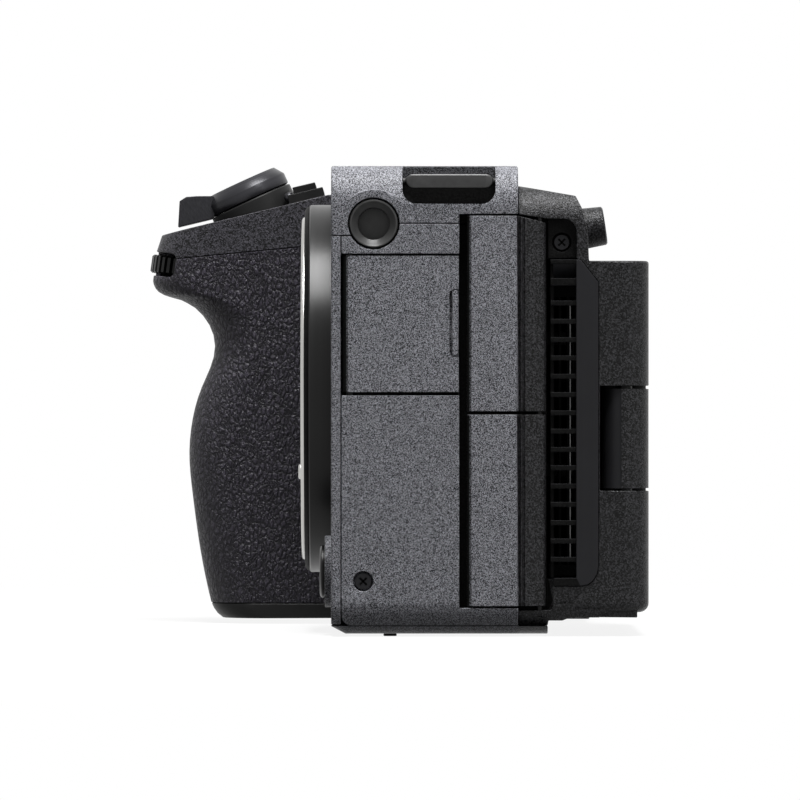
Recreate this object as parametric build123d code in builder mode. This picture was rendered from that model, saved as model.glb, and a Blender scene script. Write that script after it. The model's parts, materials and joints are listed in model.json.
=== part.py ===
from build123d import *
from math import atan2, cos, degrees, radians, sin
import os

os.makedirs("parts", exist_ok=True)

# Driving dimensions in millimetres. X runs from the grip to the connector side,
# Y from the lens to the screen, and Z up. The lens axis is at X = 0, the tripod
# thread's axis at Y = 0 and the base plane at Z = 0.
left_x = 45.0
right_x = -84.7
split_x = -46.0
body_top = 77.5
front_y = -12.6
seam_y = -10.9
top_rear_y = 18.4
top_round = 6.5
bottom_round = 5.5
lens_z = 40.65

# The top cover meets the side cover at two heights, either side of the thread insert
seam_z = 65.8
seam_high_z = 67.8
seam_step_y = -4.3
base_thick = 1.4
base_rear_y = 23.3
side_depth = 6.0

# Connector doors
mic_door_y = (-10.65, 8.55)
mic_door_z = (40.0, 62.5)
mic_pocket_z = (39.5, 62.75)
groove_y = (8.67, 9.75)
upper_door_z = (36.8, 69.1)
lower_door_z = (4.65, 36.3)
door_pocket_z = (4.4, 69.3)
door_slope_z = 68.6
door_floor_x = 40.6
mic_floor_x = 42.5
mic_axis = (43.9, -9.55)
door_axis = (42.1, 21.9)
pin_radius = 0.5
pin_gap = 0.05

# Rear casing, and the half-round fence that the screen hinge sits in
rear_left_x = 43.2
rear_wall_y = 31.9
deck_front_z = 74.2
fence_top_z = 61.75
fence_bottom_z = 3.55
swing_axis = (39.15, 36.0)
fence_radius = 4.05
knuckle_radius = 4.0
knuckle_z = (24.1, 40.57)
notch_z = (23.74, 41.0)
swing_pin_radius = 1.2

# Screen panel, folded flat against the back
panel_x = (-41.5, 34.7)
panel_y = (32.3, 39.7)
panel_z = (3.9, 61.3)
bezel_y = 37.5

# Grip: height and how far forward its front reaches there, from the photograph's profile
grip_inner_x = -50.0
grip_front_round = 14.0
grip_inner_round = 8.0
grip_rear_round = 6.0
base_stations = ((0.5, -32.2), (1.3, -33.2), (2.2, -33.85), (3.2, -34.3))
front_points = (
    (-34.3, 3.2), (-36.0, 11.1), (-37.55, 21.9), (-38.17, 29.5), (-37.65, 35.1), (-36.1, 40.7),
    (-34.3, 44.95), (-33.68, 47.9), (-34.1, 50.6), (-35.7, 53.4), (-37.1, 54.8),
)
front_steps = 28
nose_stations = (
    (54.8, -37.1), (55.6, -38.4), (56.3, -39.8), (56.7, -41.3), (57.1, -42.6), (57.6, -43.5),
    (58.2, -44.05), (58.9, -44.4), (59.6, -44.55), (64.9, -43.85), (67.6, -42.95), (76.0, -40.2),
)
rubber_thick = 1.2
nose_lift = 0.6
rubber_rear_y = 1.0
panel_front_y = 26.0
deck_z = 74.6
deck_slope_y = -13.7
nose_top = (-42.9, 67.6)

# Lens mount
flange_radius = 29.0
ring_radius = 31.1
throat_radius = 27.0
mouth_radius = 24.4
flange_face_y = -17.75
ring_face_y = -16.7
sensor_y = flange_face_y + 18.0
lock_radius = 26.0
lock_angle = -32.4
release_centre = (31.0, 10.2)

# Thread inserts for quarter-inch screws: the minor radius is what the bore measures
insert_radius = 4.17
insert_bore = 2.6
insert_depth = 6.2
insert_place = (-5.51, 67.8)
boss_radius = 5.7
screw_gap = 0.3

# Controls
dial_radius = 10.0
dial_thick = 3.3
dial_x = -62.0
dial_tilt = 8.0
ring_tilt = 24.6
zoom_radius = 7.0
zoom_top_radius = 6.0
zoom_slope = 1.6
zoom_thick = 3.4
skirt_radius = 6.9
zoom_centre = (-61.0, -28.2, 75.4)
record_radius = 4.5
wheel_centre = (-63.0, 27.0)
wheel_radius = 11.0
stick_tilt = 8.5
stick_radius = 3.4
stick_end = (-51.0, 34.7, 69.0)
stick_reach = 6.6
stick_cap = 4.2
button_radius = 2.8
rear_buttons = {
    "menu_button": (-53.0, 55.0),
    "function_button": (-53.0, 45.0),
    "play_button": (-52.0, 9.5),
    "delete_button": (-74.0, 9.5),
}
top_buttons = {"top_button_left": -55.5, "top_button_right": -72.5}
collar_height = 1.6
strap_pin = 0.6

# Vent in the left side of the rear casing
vent_y = (23.15, 28.25)
vent_part_y = 23.7
vent_z = (9.2, 62.0)
bar_top_z = 55.1
bar_pitch = 3.024
bar_count = 15
bar_thick = 0.8


# A box between two opposite corners
def block(start, end, mode=Mode.ADD):
    size = [abs(b - a) for a, b in zip(start, end)]
    middle = tuple((a + b) / 2 for a, b in zip(start, end))
    with Locations(middle):
        Box(*size, mode=mode)


# A round bar from one point to another
def rod(radius, start, end, mode=Mode.ADD):
    along = Vector(*end) - Vector(*start)
    with Locations(Plane(origin=start, z_dir=along)):
        Cylinder(radius, along.length, align=(Align.CENTER, Align.CENTER, Align.MIN), mode=mode)


# A rounded bar with flat sides, seen from the front: the body's outline between two depths
def body_prism(inset, front, rear, left=left_x, top=body_top):
    with BuildPart() as prism:
        with BuildSketch(Plane.XZ.offset(-rear)) as section:
            with Locations(((left + split_x) / 2, top / 2)):
                Rectangle(left - split_x - 2 * inset, top - 2 * inset)
            upper = section.vertices().group_by(Axis.X)[-1].sort_by(Axis.Y)[-1]
            fillet(upper, top_round - min(inset, 4.0))
            lower = section.vertices().group_by(Axis.X)[-1].sort_by(Axis.Y)[0]
            fillet(lower, bottom_round - min(inset, 4.0))
        extrude(amount=rear - front)
    return prism.part


# A solid whose side view is a closed line of (Y, Z) points, between two values of X
def side_prism(points, low_x, high_x):
    with BuildPart() as prism:
        with BuildSketch(Plane.YZ.offset(low_x)):
            with BuildLine():
                Polyline(*points, close=True)
            make_face()
        extrude(amount=high_x - low_x)
    return prism.part


# One level section of the grip side: flat back, rounded outer corner and rounded fingers' side
def grip_section(height, front, inset):
    outer = right_x + inset
    inner = grip_inner_x - inset
    nose = front + inset
    big = grip_front_round - inset
    small = grip_inner_round - inset
    rear = rear_wall_y
    with BuildSketch(Plane.XY.offset(height)) as section:
        with BuildLine():
            Polyline((inner, nose + small), (inner, front_y), (split_x, front_y), (split_x, rear))
            Line((split_x, rear), (outer + grip_rear_round, rear))
            RadiusArc((outer + grip_rear_round, rear), (outer, rear - grip_rear_round), -grip_rear_round)
            Line((outer, rear - grip_rear_round), (outer, nose + big))
            RadiusArc((outer, nose + big), (outer + big, nose), -big)
            Line((outer + big, nose), (inner - small, nose))
            RadiusArc((inner - small, nose), (inner, nose + small), -small)
        make_face()
    return section.sketch


# The curve of the grip's front, seen from the side, taken at even steps from base to nose
with BuildLine(Plane.YZ) as grip_front:
    Spline(*front_points)
steps = [grip_front.line @ (index / front_steps) for index in range(front_steps + 1)]
front_stations = [(point.Z, point.Y) for point in steps]


# The grip side of the body as one solid, drawn in by an inset over its front
def grip_form(inset):
    lifted = [(z + nose_lift * inset, y) for z, y in nose_stations[1:]]
    with BuildPart() as form:
        for stations in (base_stations, front_stations, [nose_stations[0], *lifted]):
            loft([grip_section(z, y, inset) for z, y in stations], ruled=True)
        add(side_prism(grip_outline, right_x - 1, split_x), mode=Mode.INTERSECT)
    return form.part


# A disc with fine teeth round its rim and a short axle, for a dial
def knurled_disc(radius, thickness, teeth, axle_radius, axle_length):
    with BuildPart() as disc:
        with BuildSketch(Plane.XY.offset(-thickness / 2)):
            Circle(radius)
            with PolarLocations(radius, teeth):
                Circle(0.26, mode=Mode.SUBTRACT)
        extrude(amount=thickness)
        Cylinder(axle_radius, axle_length)
    return disc.part


# A screw with a countersunk head and a cross, its head's face on the plane
def cross_screw(head_radius, length):
    with BuildPart() as screw:
        with Locations((0, 0, -0.5)):
            Cone(head_radius * 0.5, head_radius, 1.0)
        with Locations((0, 0, -length / 2)):
            Cylinder(head_radius * 0.5, length)
        for turn in (45, 135):
            with Locations(Location((0, 0, 0), (0, 0, turn))):
                Box(head_radius * 1.3, head_radius * 0.28, 0.8, mode=Mode.SUBTRACT)
    return screw.part


# The places of the screws: (plane of the head's face, head radius)
def facing(x, y, z, out):
    return Plane(origin=(x, y, z), z_dir=out)


# Height of the sloping top of the grip at a depth
def deck_height(y):
    slope = (deck_z - nose_top[1]) / (deck_slope_y - nose_top[0])
    return nose_top[1] + (y - nose_top[0]) * slope


deck_tilt = degrees(atan2(deck_z - nose_top[1], deck_slope_y - nose_top[0]))
deck_normal = (0, -sin(radians(deck_tilt)), cos(radians(deck_tilt)))

# Side view of the grip side: sloping top, back slope, flat back
grip_outline = (
    (-46.0, 0.5), (rear_wall_y, 0.5), (rear_wall_y, 59.5), (30.2, 62.3), (29.9, 66.5),
    (28.9, 70.5), (27.9, 72.6), (top_rear_y, deck_z), (deck_slope_y, deck_z),
    (nose_top[0], nose_top[1]), (-46.0, deck_height(-46.0)),
)
# The line where the rubber ends and the grip's top cover begins
seam_line = ((-60.0, 61.5), (front_y, 66.0), (50.0, 66.0))
above_seam = side_prism(seam_line + ((50.0, 90.0), (-60.0, 90.0)), right_x - 2, split_x)
below_seam = side_prism(seam_line + ((50.0, -5.0), (-60.0, -5.0)), right_x - 2, split_x)

dial_front = Plane(
    origin=(dial_x, -44.9 + dial_radius * cos(radians(dial_tilt)), 61.36),
    x_dir=(1, 0, 0), z_dir=(0, sin(radians(dial_tilt)), cos(radians(dial_tilt))),
)
dial_rear = Plane(origin=(-70.0, 22.0, 69.2), x_dir=(1, 0, 0), z_dir=(0, 0, 1))
zoom_plane = Plane(
    origin=zoom_centre, x_dir=(1, 0, 0),
    z_dir=(0, -sin(radians(ring_tilt)), cos(radians(ring_tilt))),
)
wheel_plane = Plane(
    origin=(wheel_centre[0], rear_wall_y, wheel_centre[1]), x_dir=(-1, 0, 0), z_dir=(0, 1, 0)
)
stick_axis = Vector(0, cos(radians(stick_tilt)), sin(radians(stick_tilt)))
stick_pivot = Vector(*stick_end) - stick_axis * stick_reach
stick_plane = Plane(origin=stick_pivot, x_dir=(1, 0, 0), z_dir=stick_axis)
switch_plane = Plane(origin=(-75.0, -4.0, deck_z), x_dir=(1, 0, 0), z_dir=(0, 0, 1))
lock_x = lock_radius * cos(radians(lock_angle))
lock_z = lens_z + lock_radius * sin(radians(lock_angle))

insert_planes = {
    "tripod": facing(0, 0, 0, (0, 0, -1)),
    "left": facing(left_x, *insert_place, (1, 0, 0)),
    "right": facing(right_x, -7.0, 68.6, (-1, 0, 0)),
    "top_left": facing(31.0, 6.0, body_top, (0, 0, 1)),
    "top_right": facing(-31.0, 6.0, body_top, (0, 0, 1)),
    "top_front": facing(-31.0, -6.5, body_top, (0, 0, 1)),
}
cover_screws = [
    (facing(left_x - 0.25, -7.24, 8.78, (1, 0, 0)), 1.3),
    (facing(41.45, 25.57, 64.76, (1, 0, 0)), 1.22),
    (facing(33.0, -6.0, 0.15, (0, 0, -1)), 1.3),
    (facing(-41.0, -6.0, 0.15, (0, 0, -1)), 1.3),
    (facing(33.0, 12.0, 0.15, (0, 0, -1)), 1.3),
    (facing(-41.0, 12.0, 0.15, (0, 0, -1)), 1.3),
]
flange_screws = [
    (facing(26.7 * cos(radians(a)), flange_face_y + 0.05, lens_z + 26.7 * sin(radians(a)), (0, -1, 0)), 1.1)
    for a in (48, 132, 228, 336)
]


# Recesses for screws, with a groove left open round each head
def screw_holes(places):
    for plane, head in places:
        with Locations(plane):
            Cylinder(head + screw_gap, 2.3, mode=Mode.SUBTRACT)
            Cylinder(head * 0.5 + 0.05, 16.0, mode=Mode.SUBTRACT)


# Holes that hold the thread inserts
def insert_holes(names):
    for name in names:
        with Locations(insert_planes[name]):
            Cylinder(insert_radius + 0.03, 2 * insert_depth + 1.6, mode=Mode.SUBTRACT)


# Front casing: the wall that carries the lens mount, with a lip that centres it in the side cover
with BuildPart() as front_casing:
    add(body_prism(0, front_y, seam_y))
    fillet(front_casing.edges().filter_by(Axis.X).group_by(Axis.Y)[0].sort_by(Axis.Z)[-1], 0.4)
    add(body_prism(side_depth + 0.1, seam_y, -8.4))
    add(body_prism(side_depth + 1.6, -9.9, -8.4), mode=Mode.SUBTRACT)
    split(bisect_by=Plane.XY.offset(seam_z), keep=Keep.BOTTOM)
    split(bisect_by=Plane.XY.offset(1.65), keep=Keep.TOP)
    rod(6.0, (release_centre[0], -13.7, release_centre[1]), (release_centre[0], -8.5, release_centre[1]))
    rod(4.7, (release_centre[0], -14, release_centre[1]), (release_centre[0], -10.2, release_centre[1]), Mode.SUBTRACT)
    rod(throat_radius, (0, -20, lens_z), (0, -5, lens_z), Mode.SUBTRACT)
    insert_holes(("left",))
front_casing.part.label = "front_casing"
export_step(front_casing.part, "parts/front_casing.step")

# Top cover: one piece across the body, cut for the lens mount, doors, strap bar and shoe
with BuildPart() as top_cover:
    add(body_prism(0, front_y, top_rear_y))
    fillet(top_cover.edges().filter_by(Axis.X).group_by(Axis.Z)[-1], 0.4)
    rod(boss_radius, (left_x - 5, *insert_place), (left_x, *insert_place))
    split(bisect_by=Plane.XY.offset(seam_z), keep=Keep.TOP)
    block((-43.8, -10.4, 60), (38.8, 16.2, 74.5), Mode.SUBTRACT)
    block((-13.5, -7.0, 71.9), (13.5, 16.3, 74.6))
    block((-11.1, -5.0, 73.6), (11.1, 19.0, 80), Mode.SUBTRACT)
    block((side_depth * -1 + left_x, seam_step_y, 60), (46, 19, seam_high_z), Mode.SUBTRACT)
    block((door_floor_x, groove_y[0], 60), (46, 19, door_pocket_z[1]), Mode.SUBTRACT)
    rod(throat_radius, (0, -20, lens_z), (0, -5, lens_z), Mode.SUBTRACT)
    with BuildSketch(Plane.YZ.offset(46)) as recess:
        with Locations((6.92, 76.1)):
            Rectangle(15.16, 10.0)
        fillet(recess.vertices().group_by(Axis.Y)[0], 2.3)
    extrude(amount=-6.4, mode=Mode.SUBTRACT)
    rod(strap_pin + 0.05, (42.6, -2.2, 74.8), (42.6, 16.1, 74.8), Mode.SUBTRACT)
    insert_holes(("left", "top_left", "top_right", "top_front"))
    block((29.8, -13, 71.2), (36.2, -11.2, 73.0), Mode.SUBTRACT)
    block((-2.5, 16.0, 75.6), (2.5, 17.0, 78), Mode.SUBTRACT)
top_cover.part.label = "top_cover"
export_step(top_cover.part, "parts/top_cover.step")

# Side cover: holds the doors in pockets and the sockets in its floor
with BuildPart() as side_cover:
    with BuildSketch(Plane.YZ.offset(36)) as outline:
        with Locations(((seam_y + top_rear_y) / 2, (base_thick + seam_high_z) / 2)):
            Rectangle(top_rear_y - seam_y, seam_high_z - base_thick)
        fillet(outline.vertices().group_by(Axis.X)[0].sort_by(Axis.Y)[0], 1.8)
    extrude(amount=10)
    add(body_prism(0, seam_y, top_rear_y), mode=Mode.INTERSECT)
    add(body_prism(side_depth, seam_y - 1, top_rear_y + 1), mode=Mode.SUBTRACT)
    block((30, seam_y - 1, seam_z), (46, seam_step_y, 80), Mode.SUBTRACT)
    block((30, seam_y - 1, seam_z), (left_x - side_depth, top_rear_y + 1, 80), Mode.SUBTRACT)
    block((mic_floor_x, seam_y - 1, mic_pocket_z[0]), (46, groove_y[0] + 0.1, mic_pocket_z[1]), Mode.SUBTRACT)
    block((door_floor_x, groove_y[0], door_pocket_z[0]), (46, 20, 80), Mode.SUBTRACT)
    rod(pin_radius + 0.02, (*mic_axis, 38.4), (*mic_axis, 64.0), Mode.SUBTRACT)
    rod(3.05, (30, -1.0, 51.0), (46, -1.0, 51.0), Mode.SUBTRACT)
    rod(3.05, (30, 14.2, 62.0), (46, 14.2, 62.0), Mode.SUBTRACT)
    block((30, 11.3, 43.4), (46, 17.1, 58.6), Mode.SUBTRACT)
    block((30, 12.4, 22.9), (46, 16.0, 32.6), Mode.SUBTRACT)
    block((30, 12.4, 9.4), (46, 16.0, 18.1), Mode.SUBTRACT)
    insert_holes(("left",))
    screw_holes(cover_screws[:1])
side_cover.part.label = "side_cover"
export_step(side_cover.part, "parts/side_cover.step")

# Bottom plate with the boss for the tripod thread
with BuildPart() as bottom_plate:
    add(body_prism(0, front_y, base_rear_y))
    split(bisect_by=Plane.XY.offset(base_thick), keep=Keep.BOTTOM)
    front_edge = bottom_plate.edges().filter_by(Axis.X).group_by(Axis.Y)[0].sort_by(Axis.Z)[0]
    chamfer(front_edge, length=1.25, length2=2.4)
    rod(8.0, (0, 0, base_thick), (0, 0, 7.0))
    insert_holes(("tripod",))
    screw_holes(cover_screws[2:])
bottom_plate.part.label = "bottom_plate"
export_step(bottom_plate.part, "parts/bottom_plate.step")

# Outline of the vent's smooth frame, as (Y, Z) points round its window
vent_outline = (
    (27.95, 61.9), (28.7, 61.8), (31.6, 58.1), (31.6, 11.2), (31.35, 10.0), (30.75, 8.95),
    (29.9, 8.25), (28.6, 8.0), (24.2, 8.0), (24.2, 9.3), (27.95, 9.3),
)

# The fence by itself, with its rims rounded
with BuildPart() as fence:
    with BuildSketch(Plane.XY.offset(fence_bottom_z)):
        with Locations((swing_axis[0], 31.5)):
            Rectangle(2 * fence_radius, 9.0)
        with Locations(swing_axis):
            Circle(fence_radius)
    extrude(amount=fence_top_z - fence_bottom_z)
    for group, radius in ((-1, 0.5), (0, 1.6)):
        rims = fence.edges().filter_by_position(Axis.Y, 37, 41).filter_by(GeomType.CIRCLE)
        fillet(rims.group_by(Axis.Z)[group], radius)

# Rear casing: deck, back wall and the fence with its half-round end
with BuildPart() as rear_casing:
    add(side_prism(
        ((18.4, 1.4), (23.3, 1.4), (23.4, 2.2), (25.7, 2.2), (26.9, 2.7), (rear_wall_y, 2.7),
         (rear_wall_y, 59.5), (30.1, fence_top_z), (29.9, 66.5), (28.9, 70.5),
         (27.9, 72.5), (18.4, deck_front_z)),
        split_x, rear_left_x,
    ))
    add(body_prism(0, 0, 45, left=rear_left_x, top=deck_front_z), mode=Mode.INTERSECT)
    add(fence.part)
    block((35.1, 30, 2.7), (rear_left_x - 1.2, 38.1, fence_bottom_z + 1.0))
    add(side_prism(
        ((18.0, 4.2), (29.4, 4.2), (29.4, 62.0), (27.2, 70.4), (18.0, 71.4)), split_x + 2.2, 38.5,
    ), mode=Mode.SUBTRACT)
    add(side_prism(
        ((18.0, 4.0), (23.2, 4.0), (23.2, door_slope_z), (18.4, door_pocket_z[1]), (18.0, door_pocket_z[1])),
        door_floor_x + 0.1, 46,
    ), mode=Mode.SUBTRACT)
    with BuildSketch(Plane.XY.offset(4.0)):
        with BuildLine():
            Polyline((41.5, 22.9), (41.6, 23.3), (43.3, 24.15), (44.5, 24.8), (44.5, 22.9), close=True)
        make_face()
    extrude(amount=door_slope_z - 4.0, mode=Mode.SUBTRACT)
    block((38.0, vent_y[0], vent_z[0]), (46, vent_y[1], vent_z[1]), Mode.SUBTRACT)
    with BuildSketch(Plane.YZ.offset(41.6)) as shallow:
        with Locations((25.6, 65.0)):
            Rectangle(4.7, 7.2)
        fillet(shallow.vertices().group_by(Axis.Y)[-1].sort_by(Axis.X)[-1], 2.2)
    extrude(amount=4, mode=Mode.SUBTRACT)
    add(side_prism(vent_outline, 42.4, 46), mode=Mode.SUBTRACT)
    block((34, 31.9, notch_z[0]), (45, 41, notch_z[1]), Mode.SUBTRACT)
    rod(swing_pin_radius + 0.03, (*swing_axis, 16.9), (*swing_axis, 48.1), Mode.SUBTRACT)
    rod(pin_radius + 0.02, (*door_axis, 2.9), (*door_axis, 69.95), Mode.SUBTRACT)
    screw_holes(cover_screws[1:2])
rear_casing.part.label = "rear_casing"
export_step(rear_casing.part, "parts/rear_casing.step")

# Vent frame with its fifteen bars, two ledges and the slope between them
with BuildPart() as vent_frame:
    add(side_prism(vent_outline, 42.4, 43.4))
    for index in range(bar_count):
        top = bar_top_z - index * bar_pitch
        block((41.0, vent_part_y, top - bar_thick), (42.9, 28.2, top))
    block((41.0, vent_part_y, 61.2), (42.95, 28.2, 61.9))
    block((40.2, vent_part_y, 57.6), (42.95, 28.2, 58.8))
    block((40.2, vent_part_y, vent_z[0] + 0.05), (41.2, 24.3, 61.9))
    slope = Plane.XZ.offset(-24.1)
    with BuildSketch(slope):
        with BuildLine():
            Polyline((42.6, 61.4), (40.6, 58.7), (40.2, 58.7), (42.2, 61.4), close=True)
        make_face()
    extrude(amount=-3.9)
vent_frame.part.label = "vent_frame"
export_step(vent_frame.part, "parts/vent_frame.step")

# The space for the front dial, open at the nose of the grip
with BuildPart() as dial_space:
    with Locations(dial_front):
        Cylinder(dial_radius + 0.6, dial_thick + 0.8)
        Cylinder(1.55, 9.0)
    with BuildSketch(Plane.YZ.offset(dial_x - 8.5)):
        with Locations(Location((-46.44, 62.97), -dial_tilt)):
            RectangleRounded(12.0, dial_thick + 0.8, 1.0)
    extrude(amount=21.5)

# The space inside the grip for the joystick's gimbal
with BuildPart() as stick_space:
    with Locations(stick_plane):
        Sphere(4.0)
        with Locations((0, 0, 2.5)):
            Cylinder(2.6, 5.0)
    rod(0.66, (stick_end[0] - 4.9, stick_pivot.Y, stick_pivot.Z), (stick_end[0] + 4.9, stick_pivot.Y, stick_pivot.Z))

grip_whole = grip_form(0)
grip_inside = grip_form(rubber_thick)

# Grip base: smooth foot of the grip, open for the battery door
with BuildPart() as grip_base:
    add(grip_whole)
    split(bisect_by=Plane.XY.offset(3.2), keep=Keep.BOTTOM)
    block((-80.1, -26.2, -1), (-53.7, 15.2, 5), Mode.SUBTRACT)
    rod(pin_radius + 0.02, (-54.9, -27.5, 1.75), (-54.9, 16.5, 1.75), Mode.SUBTRACT)
grip_base.part.label = "grip_base"
export_step(grip_base.part, "parts/grip_base.step")

# Thumb rest: a raised rubber pad that is stuck on the rear panel
with BuildPart() as thumb_rest:
    with BuildSketch(Plane.XZ.offset(-rear_wall_y)):
        with Locations((-75.8, 49.5)):
            RectangleRounded(11.0, 24.0, 4.0)
    extrude(amount=-4.0)
    fillet(thumb_rest.edges().group_by(Axis.Y)[-1], 2.4)

# Grip rubber: a skin over the front and the outer side, and the thumb rest
with BuildPart() as grip_rubber:
    add(grip_whole)
    add(grip_inside, mode=Mode.SUBTRACT)
    add(below_seam, mode=Mode.INTERSECT)
    split(bisect_by=Plane.XY.offset(3.2), keep=Keep.TOP)
    split(bisect_by=Plane.XZ.offset(-rubber_rear_y), keep=Keep.TOP)
    add(dial_space.part, mode=Mode.SUBTRACT)
    insert_holes(("right",))
    add(thumb_rest.part)
grip_rubber.part.label = "grip_rubber"
export_step(grip_rubber.part, "parts/grip_rubber.step")

# Grip core: carries the rubber, with bays for the battery and the cards
with BuildPart() as grip_core:
    add(grip_whole)
    add(below_seam, mode=Mode.INTERSECT)
    split(bisect_by=Plane.XY.offset(3.2), keep=Keep.TOP)
    split(bisect_by=Plane.XZ.offset(-panel_front_y), keep=Keep.TOP)
    add(grip_rubber.part, mode=Mode.SUBTRACT)
    block((-79.4, -25.4, 3), (-55.9, 14.1, 55.8), Mode.SUBTRACT)
    block((-82.3, 14.9, 19.5), (-48.5, 27, 54.5), Mode.SUBTRACT)
    block((-86, 5.75, 16.75), (-82.2, 25.4, 57.25), Mode.SUBTRACT)
    rod(pin_radius + 0.02, (-83.6, 7.1, 15.6), (-83.6, 7.1, 58.4), Mode.SUBTRACT)
    add(dial_space.part, mode=Mode.SUBTRACT)
    add(stick_space.part, mode=Mode.SUBTRACT)
    insert_holes(("right",))
grip_core.part.label = "grip_core"
export_step(grip_core.part, "parts/grip_core.step")

# Rear panel: the wall right of the screen that carries the rear controls
with BuildPart() as rear_panel:
    add(grip_whole)
    add(below_seam, mode=Mode.INTERSECT)
    split(bisect_by=Plane.XY.offset(3.2), keep=Keep.TOP)
    split(bisect_by=Plane.XZ.offset(-panel_front_y), keep=Keep.BOTTOM)
    with Locations(wheel_plane):
        Cylinder(wheel_radius + 0.4, 4.4, mode=Mode.SUBTRACT)
        Cylinder(2.0, 9.0, mode=Mode.SUBTRACT)
    for x, z in rear_buttons.values():
        rod(button_radius + 0.25, (x, 29.4, z), (x, 40, z), Mode.SUBTRACT)
    add(stick_space.part, mode=Mode.SUBTRACT)
rear_panel.part.label = "rear_panel"
export_step(rear_panel.part, "parts/rear_panel.step")

# Grip top: sloping deck with the skirt under the zoom lever and the wells of its controls
with BuildPart() as grip_top:
    add(grip_whole)
    add(above_seam, mode=Mode.INTERSECT)
    outer_rim = grip_top.edges().filter_by_position(Axis.X, right_x - 0.1, right_x + 0.1)
    fillet(outer_rim.group_by(Axis.Z)[-1], 3.0)
    with Locations(zoom_plane):
        with Locations((0, 0, -4.95)):
            Cylinder(skirt_radius, 6.2)
        with Locations((0, 0, -3.6)):
            Cylinder(1.8, 4.0, mode=Mode.SUBTRACT)
    add(dial_space.part, mode=Mode.SUBTRACT)
    with Locations(dial_rear):
        Cylinder(dial_radius + 0.4, dial_thick + 0.8, mode=Mode.SUBTRACT)
        Cylinder(1.55, 7.0, mode=Mode.SUBTRACT)
    for x in top_buttons.values():
        with Locations(Plane(origin=(x, -17.4, deck_height(-17.4)), x_dir=(1, 0, 0), z_dir=deck_normal)):
            with Locations((0, 0, collar_height / 2 - 0.5)):
                Box(8.8, 6.4, collar_height + 1.0)
            Box(7.0, 4.6, 4.0, mode=Mode.SUBTRACT)
    with Locations(switch_plane):
        Cylinder(1.6, 8.0, mode=Mode.SUBTRACT)
    add(stick_space.part, mode=Mode.SUBTRACT)
    block((-86, 2.0, 69.0), (-80.5, 16.6, 80), Mode.SUBTRACT)
    rod(strap_pin + 0.05, (-82.9, 0.4, 71.8), (-82.9, 18.2, 71.8), Mode.SUBTRACT)
    insert_holes(("right",))
grip_top.part.label = "grip_top"
export_step(grip_top.part, "parts/grip_top.step")

# Mount ring: the black collar that stands on the front casing
with BuildPart() as mount_ring:
    with BuildSketch(Plane.XZ.offset(-front_y)):
        with Locations((0, lens_z)):
            Circle(ring_radius)
            Circle(25.5, mode=Mode.SUBTRACT)
    extrude(amount=front_y - ring_face_y)
    outer_edge = mount_ring.edges().filter_by(GeomType.CIRCLE).group_by(Axis.Y)[0].sort_by(SortBy.RADIUS)[-1]
    chamfer(outer_edge, 0.5)
    rod(1.6, (lock_x, -18, lock_z), (lock_x, -12, lock_z), Mode.SUBTRACT)
    screw_holes(flange_screws)
mount_ring.part.label = "mount_ring"
export_step(mount_ring.part, "parts/mount_ring.step")

# Lens flange: steel face, throat and the three bayonet tabs behind it
with BuildPart() as lens_flange:
    with BuildSketch(Plane.XZ.offset(-ring_face_y)):
        with Locations((0, lens_z)):
            Circle(flange_radius)
            Circle(mouth_radius, mode=Mode.SUBTRACT)
    extrude(amount=ring_face_y - flange_face_y)
    rim = lens_flange.edges().filter_by(GeomType.CIRCLE).group_by(Axis.Y)[0].sort_by(SortBy.RADIUS)[-1]
    fillet(rim, 0.5)
    with BuildSketch(Plane.XZ.offset(14.6)):
        with Locations((0, lens_z)):
            Circle(25.4)
            Circle(24.9, mode=Mode.SUBTRACT)
    extrude(amount=-14.6 - ring_face_y)
    with BuildSketch(Plane.XZ.offset(14.6)) as tabs:
        with Locations((0, lens_z)):
            Circle(25.1)
            Circle(22.2, mode=Mode.SUBTRACT)
        for turn in (30, 150, 270):
            with BuildLine():
                reach = 40.0
                Polyline(
                    (0, lens_z),
                    (reach * cos(radians(turn - 32)), lens_z + reach * sin(radians(turn - 32))),
                    (reach * cos(radians(turn + 32)), lens_z + reach * sin(radians(turn + 32))),
                    close=True,
                )
            make_face(mode=Mode.SUBTRACT)
    extrude(amount=1.4)
    rod(1.35, (lock_x, -20, lock_z), (lock_x, -12, lock_z), Mode.SUBTRACT)
    screw_holes(flange_screws)
lens_flange.part.label = "lens_flange"
export_step(lens_flange.part, "parts/lens_flange.step")

# Contact block low in the throat, with ten spring pins
with BuildPart() as lens_contacts:
    with BuildSketch(Plane.XZ.offset(11.6)):
        with Locations((0, lens_z)):
            Circle(25.4)
        with Locations((0, 17.4)):
            Rectangle(20.0, 4.4, mode=Mode.INTERSECT)
    extrude(amount=2.6)
    for index in range(10):
        x = (index - 4.5) * 1.8
        rod(0.45, (x, -14.0, 18.6), (x, -14.5, 18.6))
lens_contacts.part.label = "lens_contacts"
export_step(lens_contacts.part, "parts/lens_contacts.step")

# Sensor frame: the light baffle behind the throat, and the rails of the moving sensor
with BuildPart() as sensor_frame:
    block((-24.5, -9.8, 21.6), (24.5, -7.6, 59.7))
    block((-19.5, -11, 27.1), (19.5, -7, 54.2), Mode.SUBTRACT)
    for side in (-1, 1):
        block((side * 22.9, -8.0, 21.6), (side * 24.5, 8.0, 59.7))
sensor_frame.part.label = "sensor_frame"
export_step(sensor_frame.part, "parts/sensor_frame.step")

# Sensor stage: moves from side to side between the rails
with BuildPart() as sensor_stage:
    block((-21.0, sensor_y + 3.2, 23.2), (21.0, sensor_y + 5.2, 58.1))
    block((-16.0, sensor_y + 3.0, 29.0), (16.0, sensor_y + 6.0, 52.3), Mode.SUBTRACT)
sensor_stage.part.label = "sensor_stage"
export_step(sensor_stage.part, "parts/sensor_stage.step")

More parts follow.
